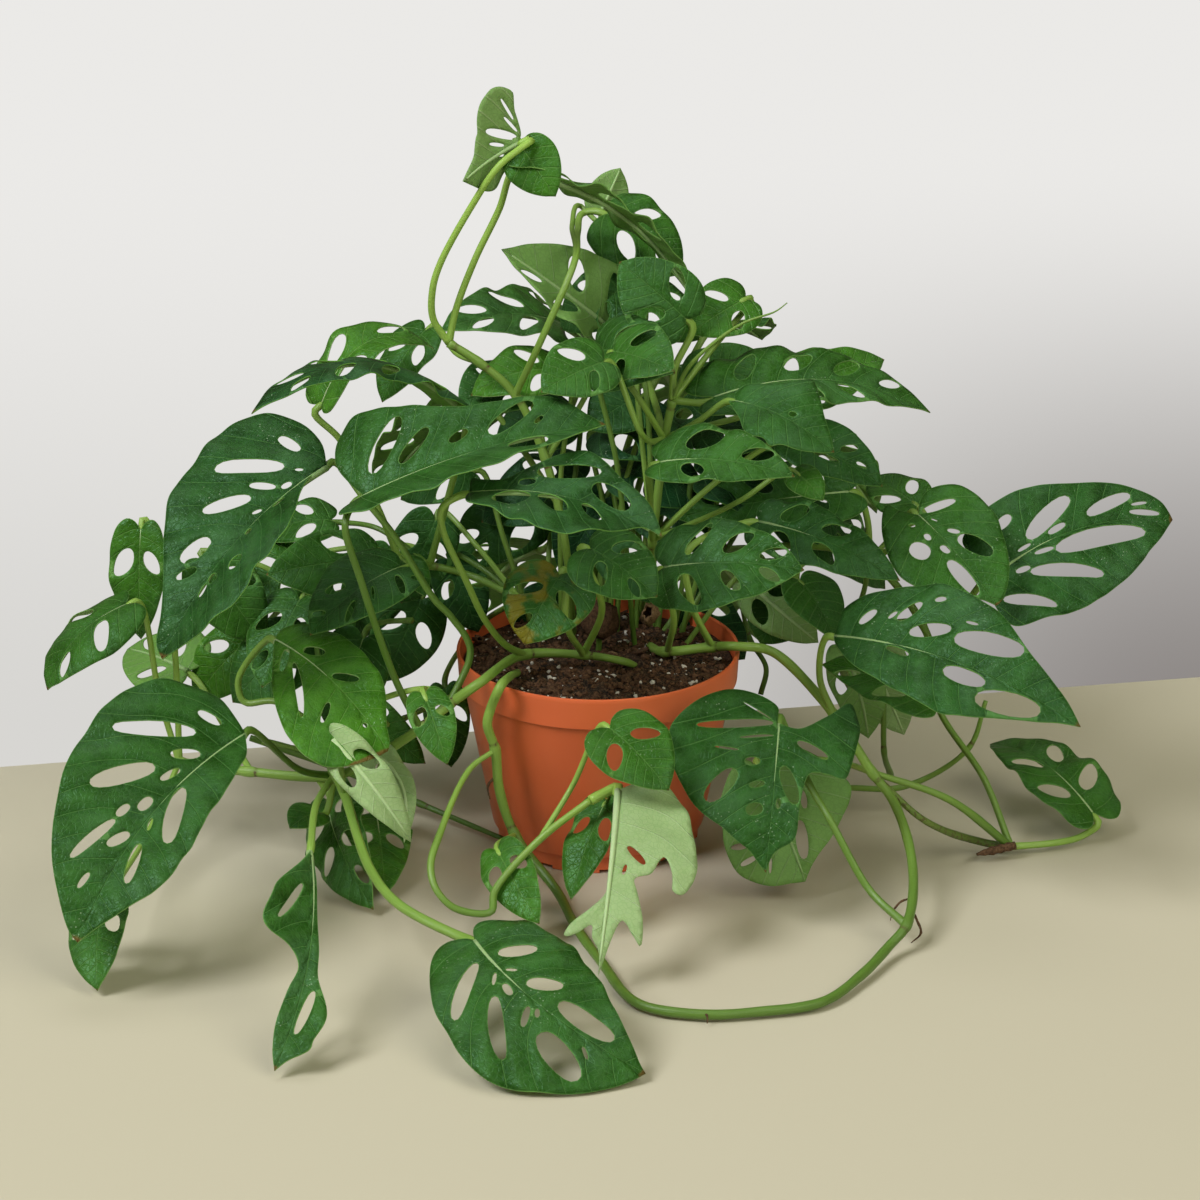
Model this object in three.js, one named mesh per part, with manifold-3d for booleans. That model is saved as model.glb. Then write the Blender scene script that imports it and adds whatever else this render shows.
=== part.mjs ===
// Swiss cheese plant (Monstera adansonii) in a six-inch azalea pot.
// Millimetres, +Z up, +Y away from the front. Sizes and places are measured from the middle of the pot's
// foot, on the table; the finished part is then moved so that its origin is under the whole plant's middle.
import * as THREE from "three";
import { mergeVertices } from "three/addons/utils/BufferGeometryUtils.js";
import Module from "manifold-3d";

const wasm = await Module();
wasm.setup();

// ---------------------------------------------------------------- driving dimensions
const RIM_R = 76;            // six-inch pot: 152 mm across the rim
const POT_H = 109;           // azalea pot, three quarters as tall as wide
const FOOT_R = 54.3;
const RIM_BAND = 17.5;       // the deep band under the rim
const BAND_STEP = 3.2;       // how far the body steps in below the band
const WALL = 2;
const FOOT_STEP_Z = 10;      // fine step above the foot
const DRAINS = 10;           // water leaves through notches under the foot ring
const NOTCH_W = 8;
const NOTCH_H = 2.2;
const FIRST_NOTCH = -85;     // degrees round from +X
const DRAIN_R = 3.5;         // and from holes in the floor at every second notch
const SOIL_Z = 102;          // the potting mix stops just under the rim
const SOIL_DOME = 1.5;       // and is a little higher in the middle
const MIDDLE = [7.7, -56.4]; // middle of the whole plant, seen from the middle of the pot
const FIT = 0.3;             // clearance between separate pieces
const BLADE = 0.8;           // thickness of a leaf blade
const STEM_FACETS = 5;
const STALK_FACETS = 4;
const LATHE_FACETS = 24;
const STEM_STEP = 17;        // length of one straight piece of a trailing stem
const STALK_STEP = 30;       // and of a leaf stalk
const BASE_UNDER = 3.5;      // a stalk comes in this far below its blade,
const BASE_BEHIND = 9;       // from this far behind it

// Half of a flat leaf: share of the half width, share of the length, from the stalk round to the drip tip.
const HALF_LEAF = [
  [0.36, -0.085], [0.84, 0.02], [1, 0.25], [0.93, 0.48], [0.66, 0.73], [0.36, 0.88], [0.13, 0.955],
];

// name, stalk end, drip tip, widths left and right of the rib, the way the upper face looks,
// arch and sway of the rib (shares of its length), fold up and curl of each half (degrees),
// twist (degrees), and how far the lobes reach back.
const LEAVES = [
  ["leaf_01", [-141,-34,224], [-222,-110,146], [32,47], [-0.2,-0.75,0.6], 0.07, 0.05, [42,4],
    [-10,-14], 0],
  ["leaf_02", [-244,10,172], [-245,0,113], [15,17], [-0.2,-0.8,0.5], 0.05, 0, [12,12], [-20,-20], 0],
  ["leaf_03", [-250,-20,141], [-291,-40,100], [26,34], [-0.5,-0.3,0.8], 0.14, 0, [10,10], [-60,-60], 0],
  ["sprout_01", [-225,40,78], [-261,70,79], [24,26], [0.1,-0.5,0.8], 0.05, 0, [12,12], [-20,-20], 0],
  ["leaf_04", [-181,-110,105], [-258,-215,37], [34,48], [0.1,-0.75,0.6], 0.05, 0.07, [30,2],
    [-10,-10], 0],
  ["sprout_02", [-251,-160,33], [-251,-202,4], [16,17], [-0.3,-0.8,0.4], 0.08, 0, [12,12],
    [-20,-20], 0],
  ["leaf_05", [-143,-190,76], [-156,-290,5], [23,23], [0.1,-0.95,0.3], 0.03, -0.06, [15,15],
    [0,0], -40],
  ["leaf_06", [-145,-36,35], [-117,-110,5], [22,20], [-0.4,-0.8,0.3], 0.08, 0, [12,12], [-20,-20], 0],
  ["sprout_03", [-122,-8,22], [-112,-92,4], [18,20], [0.2,-0.9,0.3], 0.05, 0, [12,12], [-20,-20], 0],
  ["sprout_04", [-148,-66,41], [-162,-80,38], [12,12], [-0.3,-0.6,0.8], 0.1, 0, [12,12], [-20,-20], 0],
  ["leaf_07", [-169,-50,133], [-108,-110,95], [24,36], [0.2,-0.6,0.8], 0.07, -0.03, [12,12],
    [-20,-20], 0],
  ["leaf_08", [-161,20,128], [-180,-10,89], [20,22], [-0.4,-0.7,0.6], 0.05, 0, [12,12], [-20,-20], 0],
  ["leaf_09", [-122,20,151], [-177,0,150], [24,20], [-0.1,-0.7,0.7], 0.06, 0, [12,12], [-20,-20], 0],
  ["leaf_10", [-105,-20,162], [-150,-60,139], [24,24], [-0.2,-0.5,0.8], 0.1, 0, [12,12], [-20,-20], 0],
  ["sprout_05", [-103,-5,160], [-91,-25,147], [9,9], [0.2,-0.6,0.8], 0.1, 0, [12,12], [-20,-20], 0],
  ["leaf_11", [-74,0,247], [-177,-60,261], [26,26], [-0.1,0.06,1], 0.2, 0, [5,5], [-30,-30], 0],
  ["leaf_12", [-147,30,237], [-88,60,257], [19,15], [-0.45,-0.5,0.72], 0.3, -0.06, [12,12],
    [-20,-20], 0, 0.4],
  ["leaf_13", [-94,86,259], [-117,68,224], [18,16], [-0.4,-0.5,0.7], 0.08, 0, [12,12], [-20,-20], 0],
  ["leaf_14", [-7,110,247], [-85,62,266], [30,30], [0,-0.3,1], 0.14, 0, [12,12], [-20,-20], 0],
  ["leaf_15", [-42,60,234], [-75,40,233], [16,24], [-0.1,-0.6,0.8], 0.05, 0, [12,12], [-20,-20], 0],
  ["leaf_16", [-119,-88,227], [4,-74,260], [48,28], [0,-0.6,0.8], 0.08, 0, [4,42], [-14,-10], 0],
  ["leaf_17", [-65,-95,231], [32,-130,220], [29,26], [0,-0.6,0.8], 0.07, -0.055, [4,38], [-14,-10], 0],
  ["leaf_18", [-41,29,380], [-70,10,364], [33,18], [0.3,0.8,0.4], 0.06, 0, [10,4], [0,0], 0],
  ["leaf_19", [-38,36,362], [54,52,281], [24,20], [0.47,0.42,0.68], 0.12, 0, [12,12], [-20,-20], 0],
  ["sprout_06", [1,114,317], [12,126,339], [14,12], [0.3,0.6,0.7], 0, 0, [12,12], [-20,-20], 0],
  ["leaf_20", [5,92,323], [45,84,291], [22,30], [0.1,-0.5,0.8], 0.12, 0, [12,12], [-20,-20], 0, 0.5],
  ["leaf_21", [13,60,262], [-51,42,318], [24,30], [-0.3,-0.7,0.6], 0.07, 0, [55,4], [-10,-10], 0],
  ["sprout_07", [3,90,276], [-11,82,263], [12,12], [0,-0.6,0.7], 0.05, 0, [12,12], [-20,-20], 0],
  ["leaf_22", [46,12,289], [11,22,317], [24,20], [-0.2,-0.7,0.6], 0.08, 0, [12,12], [-20,-20], 0],
  ["sprout_08", [78,40,291], [48,20,278], [18,18], [0.2,-0.6,0.8], 0.06, 0, [12,12], [-20,-20], 0],
  ["leaf_23", [8,-12,279], [39,-42,278], [21,18], [0,-0.7,0.7], 0.06, 0, [12,12], [-20,-20], 0],
  ["leaf_24", [3,-48,285], [-29,-70,276], [18,20], [-0.1,-0.7,0.7], 0.06, 0, [12,12], [-20,-20], 0],
  ["leaf_25", [61,0,250], [177,30,231], [26,22], [0,-0.4,1], 0.1, -0.05, [12,12], [-20,-20], 0],
  ["leaf_26", [95,50,231], [156,90,241], [20,20], [0.1,-0.5,0.8], 0.08, 0, [12,12], [-20,-20], 0],
  ["leaf_27", [71,-30,258], [121,-60,240], [20,20], [0.2,-0.6,0.7], 0.12, 0, [12,12], [-20,-20], 0],
  ["leaf_28", [101,0,226], [149,-20,207], [20,16], [0.2,-0.6,0.7], 0.1, 0, [12,12], [-20,-20], 0],
  ["leaf_29", [32,-60,235], [100,-80,234], [22,16], [0,-0.5,0.8], 0.1, 0, [12,12], [-20,-20], 0],
  ["sprout_09", [102,-45,224], [116,-58,213], [9,10], [0,-0.6,0.8], 0.1, 0, [12,12], [-20,-20], 0],
  ["leaf_30", [135,42,182], [41,30,171], [20,22], [0,-0.75,0.7], 0.05, 0, [12,12], [-20,-20], 0],
  ["leaf_31", [34,-70,181], [105,-95,189], [26,30], [0,-0.65,0.8], 0.08, 0, [12,12], [-20,-20], 0],
  ["leaf_32", [85,-10,184], [158,-40,162], [18,20], [0.1,-0.6,0.7], 0.1, 0, [12,12], [-20,-20], 0, 0.5],
  ["leaf_33", [104,30,130], [88,20,102], [20,20], [0,-0.7,0.6], 0.05, 0, [12,12], [-20,-20], 0],
  ["sprout_10", [108,10,143], [126,-10,117], [18,18], [0.4,-0.5,0.8], 0.08, 0, [12,12], [-20,-20], 0],
  ["leaf_34", [-20,-60,173], [-38,-85,144], [26,24], [-0.1,-0.6,0.8], 0.08, 0, [12,12], [-20,-20], 0],
  ["leaf_35", [-4,-85,197], [30,-105,178], [20,24], [0.1,-0.6,0.8], 0.08, 0, [12,12], [-20,-20], 0],
  ["leaf_36", [170,0,184], [209,-40,148], [26,36], [0.2,-0.75,0.6], 0.07, 0, [12,12], [-20,-20], 0],
  ["sprout_11", [173,50,171], [149,80,176], [18,16], [0,-0.4,0.9], 0.05, 0, [12,12], [-20,-20], 0],
  ["leaf_37", [211,-10,154], [309,30,170], [37,42], [0.1,-0.7,0.7], 0.05, -0.085, [8,8], [-10,-10], 0],
  ["leaf_38", [123,-60,139], [245,-130,117], [40,36], [0.1,-0.7,0.75], 0.06, -0.04, [8,10],
    [-10,-12], 0],
  ["leaf_39", [268,-10,16], [218,60,26], [24,24], [0.3,-0.5,0.85], 0.12, 0, [12,12], [-20,-20], 0],
  ["leaf_40", [94,-85,100], [86,-135,38], [40,52], [0.05,-0.8,0.6], 0.06, 0, [10,5], [-20,-12], 0, 1.6],
  ["leaf_41", [86,-50,60], [109,-88,11], [36,32], [0.1,-0.9,0.4], 0.05, 0, [12,12], [-20,-20], 0],
  ["leaf_42", [6,-110,108], [36,-135,84], [22,22], [0.1,-0.6,0.8], 0.08, 0, [12,12], [-20,-20], 0],
  ["sprout_12", [4,-105,65], [-14,-140,25], [14,14], [-0.5,-0.7,0.4], 0.05, 0, [12,12], [-20,-20], 0],
  ["leaf_43", [10,-120,77], [0,-205,14], [36,18], [0.1,-0.7,0.7], 0.1, 0, [12,12], [-20,-20], 0],
  ["leaf_44", [-61,-222,42], [23,-293,5], [27,50], [0,-0.5,0.9], 0.1, 0.1, [4,2], [-12,-12], 0],
  ["sprout_13", [-52,-110,39], [-30,-150,16], [14,14], [-0.3,-0.7,0.6], 0.06, 0, [12,12], [-20,-20], 0],
  ["sprout_14", [-145,-60,79], [-100,-120,48], [9,12], [0.2,-0.6,0.8], 0.08, -0.22, [12,12],
    [-20,-20], 0],
  ["sprout_15", [-89,-100,122], [-77,-125,94], [12,12], [0,-0.7,0.7], 0.08, 0, [12,12], [-20,-20], 0],
  ["leaf_45", [177,-30,90], [120,-4,100], [22,20], [0.1,-0.3,0.9], 0.08, 0, [12,12], [-20,-20], 0],
  ["sprout_16", [134,22,98], [147,12,50], [18,16], [0.3,-0.8,0.5], 0.08, 0, [12,12], [-20,-20], 0],
  ["leaf_46", [-62,88,215], [-125,150,140], [30,28], [-0.3,0.8,0.6], 0.08, 0, [12,12], [-20,-20], 0],
  ["leaf_47", [34,112,228], [48,196,168], [34,32], [0,0.6,0.8], 0.08, 0, [12,12], [-20,-20], 0],
  ["leaf_48", [92,95,205], [158,150,130], [29,30], [0.4,0.7,0.6], 0.08, 0, [12,12], [-20,-20], 0],
  ["leaf_49", [-34,122,120], [-80,192,42], [30,32], [-0.2,0.8,0.5], 0.08, 0, [12,12], [-20,-20], 0],
  ["leaf_50", [62,120,118], [96,190,34], [33,30], [0.2,0.8,0.5], 0.08, 0, [12,12], [-20,-20], 0],
  ["sprout_17", [60,100,255], [92,160,230], [24,26], [0,0.3,0.95], 0.08, 0, [12,12], [-20,-20], 0],
];

// Leaves with an edge or holes of their own, in mm from the stalk's end: v across the rib, y along it.
// Each edge runs from the stalk round to the tip; a hole is [v, y] at one end, at the other, and its width.
const OWN = {
  leaf_01: {
    right: [[13, -7], [30, -8.5], [44.5, -1.5], [54.5, 10.5], [56, 24], [51, 44], [47, 61.5], [37.5, 77],
      [22, 97.5], [11.5, 115.5], [6.5, 129.5]],
    left: [[1, 11], [17, 30.5], [31, 48], [33, 62.5], [34.5, 77], [37, 88.5], [34, 100], [26, 114.5],
      [12, 128]],
    holes: [[30.5, 6, 16, 4.5, 6], [39, 40, 13, 16.5, 9.5], [25.5, 61.5, 11, 41, 8],
      [17, 88.5, 12, 71, 9], [-12.5, 79.5, -19, 74.5, 10.5], [-5, 91.5, -7, 86, 8.5]],
  },
  leaf_04: {
    right: [[20.5, -3.5], [30.5, -1], [40.5, 4.5], [50, 12], [56.5, 22.5], [58, 37], [54.5, 56],
      [50.5, 73.5], [40.5, 95.5], [30.5, 113.5], [19, 128.5], [7.5, 142]],
    left: [[12.5, 10.5], [17, 19.5], [23, 36], [27, 57.5], [31, 80.5], [31, 96.5], [27, 110.5],
      [17.5, 124.5], [7, 138]],
    holes: [[46, 46.5, 15, 20, 9.5], [34.5, 75.5, 15, 49, 10], [21.5, 111, 13, 83.5, 5.5],
      [24, 10.5, 11, 7, 5.5], [-19, 83, -3, 48.5, 9.5], [-11.5, 111.5, -5.5, 88.5, 6.5]],
  },
  leaf_05: {
    right: [[8, 9.5], [22.5, 26.5], [27, 43], [24, 52], [11.5, 58], [4.5, 67.5], [7, 81.5], [8, 99.5],
      [5, 113.5]],
    left: [[1.5, 15], [2, 37.5], [4.5, 57], [6.5, 72], [14.5, 87], [16.5, 95], [14, 104.5], [14, 110.5],
      [5, 117]],
    holes: [[19, 44.5, 7, 22, 4], [-3.5, 103.5, -6, 79.5, 5.5]],
  },
  leaf_07: {
    right: [[4.5, 3.5], [15.5, 14.5], [24, 23.5], [30, 31.5], [36, 43], [39.5, 53.5], [41, 64],
      [41, 73.5], [38.5, 81], [33.5, 87.5], [22, 93], [9.5, 94.5]],
    left: [[4, -1.5], [8.5, -1], [14, 2], [19, 7], [22.5, 15], [23.5, 24], [24.5, 34], [24.5, 43.5],
      [22, 54.5], [18, 65], [12, 74], [7, 81.5], [3.5, 90]],
    holes: [[17, 23, 2.5, 11.5, 4], [7.5, 22, 28.5, 55, 4], [22, 64, 11, 55, 3.5], [-3, 18, -9, 28, 5.5],
      [-2, 41.5, -11, 52.5, 5]],
  },
  leaf_10: {
    holes: [[10.5, 42, 6.5, 32, 6], [7, 55.5, 2, 50.5, 3], [-13, 49, -6, 36.5, 3.5],
      [-6.5, 7.5, -21.5, 16.5, 4], [-13.5, 4, -15.5, -0.5, 5.5]],
  },
  leaf_16: {
    left: [[9.5, -5], [22.5, -9.5], [35, -8], [43, -2], [48, 7.5], [47, 18.5], [40.5, 32.5], [34, 47.5],
      [27.5, 62], [26, 75.5], [25.5, 89.5], [22.5, 102.5], [16, 113], [7, 121]],
    holes: [[8.5, 77, 9.5, 97, 14], [-9.5, 7, -36, 28, 11], [-8, 22.5, -22, 41, 7.5],
      [-7.5, 70, -20.5, 95.5, 10]],
  },
  leaf_17: {
    right: [[11.5, 2], [20, 9], [25, 19], [31, 28.5], [34.5, 39], [38.5, 49.5], [38.5, 60], [34.5, 70],
      [25.5, 80], [14.5, 87.5], [1, 94.5]],
    left: [[8.5, 0], [7, 6], [6.5, 17.5], [12.5, 25.5], [19, 33.5], [26.5, 40.5], [30.5, 47.5],
      [30, 55.5], [21.5, 69.5], [17.5, 79.5], [12.5, 90], [6.5, 97.5]],
    holes: [[6, 18, 16, 34, 18.5], [3, 40, 19.5, 56.5, 12], [-11.5, 32.5, -19.5, 62.5, 9],
      [-10.5, 61.5, -5, 83, 10.5]],
  },
  leaf_18: {
    right: [[2.5, -1], [5.5, 2.5], [9.5, 8], [14, 14], [19, 20], [16, 26.5], [8, 32.5]],
    left: [[4, -2.5], [11.5, -3.5], [17.5, -4], [22.5, -5.5], [26.5, -6.5], [30, -4.5], [33, -1], [34, 3],
      [32.5, 6.5], [30, 10.5], [26, 14], [21.5, 16.5], [16.5, 18.5], [14.5, 20.5], [10, 23.5], [7, 25.5],
      [4.5, 29], [2, 34]],
    holes: [[-15, 14, -2.5, 0.5, 4.5], [-26.5, 0.5, -12.5, -1.5, 1.5], [-7.5, 15, -2, 8, 2]],
  },
  leaf_27: {
    right: [[1, -3.5], [6, 2.5], [12, 10.5], [18.5, 17.5], [19.5, 23.5], [18, 29], [20.5, 34.5], [17, 39],
      [14.5, 45.5], [11, 51], [6, 56.5]],
    left: [[5, -3], [10.5, -0.5], [13.5, 4.5], [16, 12], [20, 18.5], [25.5, 23], [30, 27.5], [25.5, 34],
      [20, 40], [13.5, 45.5], [9, 50.5], [4.5, 56]],
    holes: [[-2, 15, -15, 11.5, 5], [-3, 31, -4, 35, 3]],
  },
  leaf_28: {
    holes: [[4, 16, 3, 30, 3.5], [-4.5, 27, -11, 34, 4.5], [-3, 37.5, -3, 43.5, 2.5]],
  },
  leaf_36: {
    right: [[3, -3], [7, -9], [9, -15.5], [15, -11.5], [23, -2.5], [29, 7.5], [33, 17], [34, 26],
      [32, 34.5], [27, 42], [16.5, 51], [5.5, 60]],
    left: [[4.5, -5], [10.5, -8.5], [16.5, -9], [23, -6.5], [29.5, -1.5], [32, 6], [33.5, 15],
      [31.5, 25.5], [27.5, 36.5], [23, 46], [18, 53.5], [11, 61], [4.5, 65.5]],
    holes: [[19, 15.5, 13, 25, 11], [7, 33, 6, 57, 9], [-2.5, 0, -20.5, 5.5, 5.5],
      [-6.5, 24.5, -15, 43, 9.5], [-5, 17.5, -9, 23, 3]],
  },
  leaf_37: {
    right: [[7, -8.5], [16.5, -12.5], [28.5, -12], [35, 0], [42.5, 25.5], [40.5, 48.5], [35, 68],
      [26.5, 82], [21, 88], [12.5, 97.5]],
    left: [[23, -2.5], [30, 8], [32, 19], [32.5, 32], [30.5, 42], [27.5, 50], [24.5, 62.5], [22, 75.5],
      [17, 91], [11, 101], [5, 105]],
    holes: [[7, 34, 9, 89, 12], [10.5, 14.5, 29.5, 53.5, 8.5], [13.5, -6.5, 34, 14.5, 7],
      [-6, 24.5, -18, 54, 9.5], [-6, 59.5, -14, 86, 7]],
  },
  leaf_38: {
    right: [[7.5, 4.5], [18.5, 19], [25.5, 38], [29.5, 56.5], [32, 74.5], [29, 89.5], [19, 110.5],
      [12.5, 123], [5.5, 133]],
    left: [[9.5, 0], [17, 0.5], [24.5, 6.5], [30.5, 17], [37.5, 33], [41, 49.5], [38.5, 64.5], [32, 82.5],
      [21.5, 99], [13, 117.5], [7, 130.5]],
    holes: [[7, 65.5, 6.5, 89.5, 10], [16, 89, 6, 122, 15], [-12.5, 62.5, -19.5, 98, 13],
      [-8.5, 39, -17, 59, 8], [-14, 30.5, -27, 39, 6]],
  },
  leaf_40: {
    right: [[1, 3], [1, -4], [1.5, -9.5], [10.5, -14.5], [21.5, -16.5], [31, -15], [42, -9], [52, 0],
      [56.5, 9.5], [56.5, 18.5], [54, 27.5], [47, 40.5], [40.5, 49.5], [32.5, 55.5], [25, 59.5],
      [17.5, 65], [9.5, 70], [4.5, 75.5]],
    left: [[11, 2.5], [25, -6.5], [36.5, -16], [42, -3], [40, 15.5], [36.5, 27], [27.5, 26], [18, 26.5],
      [15, 35.5], [14, 46.5], [13, 61.5], [3.5, 69.5]],
    holes: [[43, 6, 3, 0.5, 5], [34.5, 47, 20.5, 29, 10], [13.5, 50, 5, 47, 6.5],
      [19.5, -9.5, 4.5, -1.5, 1], [-3.5, 24, -12, 44, 7.5]],
  },
  leaf_41: {
    right: [[7, -7], [14.5, -4], [21.5, 3.5], [27.5, 12], [31, 23.5], [33.5, 32], [34, 42], [32, 51],
      [26, 57.5], [18, 62.5], [8, 64.5]],
    left: [[7, -6], [17.5, -5.5], [25.5, 0.5], [32.5, 9], [38, 18.5], [40.5, 26.5], [37.5, 34],
      [30, 41.5], [21.5, 49], [12, 55], [5, 60.5]],
    holes: [[31, 36.5, 22.5, 38.5, 3.5], [29.5, 47, 20, 45.5, 3], [-8.5, 35, -3.5, 55, 6.5],
      [-15.5, 20.5, -13.5, 30.5, 3.5]],
  },
  leaf_43: {
    right: [[1, 14.5], [1, 36], [1, 51], [1, 64], [7.5, 73.5], [16.5, 82.5], [19.5, 90], [13.5, 88],
      [6.5, 82.5], [5.5, 89], [1, 95.5]],
    left: [[5.5, -4], [15, -8.5], [24, -7.5], [32.5, 2.5], [38.5, 16.5], [43, 35], [43, 50.5], [38, 60],
      [32.5, 59], [31.5, 51.5], [27, 42], [24, 44.5], [20.5, 52], [12.5, 55.5], [15, 64], [19, 78],
      [19.5, 90], [14.5, 85], [7.5, 79.5]],
    holes: [[-15.5, 27.5, -27, 41, 3.5], [-7.5, 37, -17, 47.5, 4]],
  },
  leaf_44: {
    right: [[4.5, -4.5], [12.5, -7.5], [20, -4.5], [27.5, 4.5], [33.5, 15.5], [39, 26.5], [42, 38.5],
      [46, 49], [47.5, 58], [47, 66.5], [42.5, 76.5], [35.5, 86], [27.5, 95.5], [17.5, 104.5], [8, 111.5]],
    left: [[2.5, -6.5], [6.5, -9], [12.5, -7], [21, -0.5], [28.5, 8.5], [34.5, 26], [36, 45], [31.5, 67],
      [24.5, 83.5], [16.5, 96], [9.5, 105], [3, 112]],
    holes: [[35, 35.5, 6.5, 15, 7.5], [12, 38, 35, 64, 7.5], [11.5, 67.5, 21.5, 93, 13.5],
      [-5, 16, -21.5, 27, 8], [-4.5, 42, -15.5, 57.5, 8], [-7, 63, -7, 96.5, 10.5]],
  },
};

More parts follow.
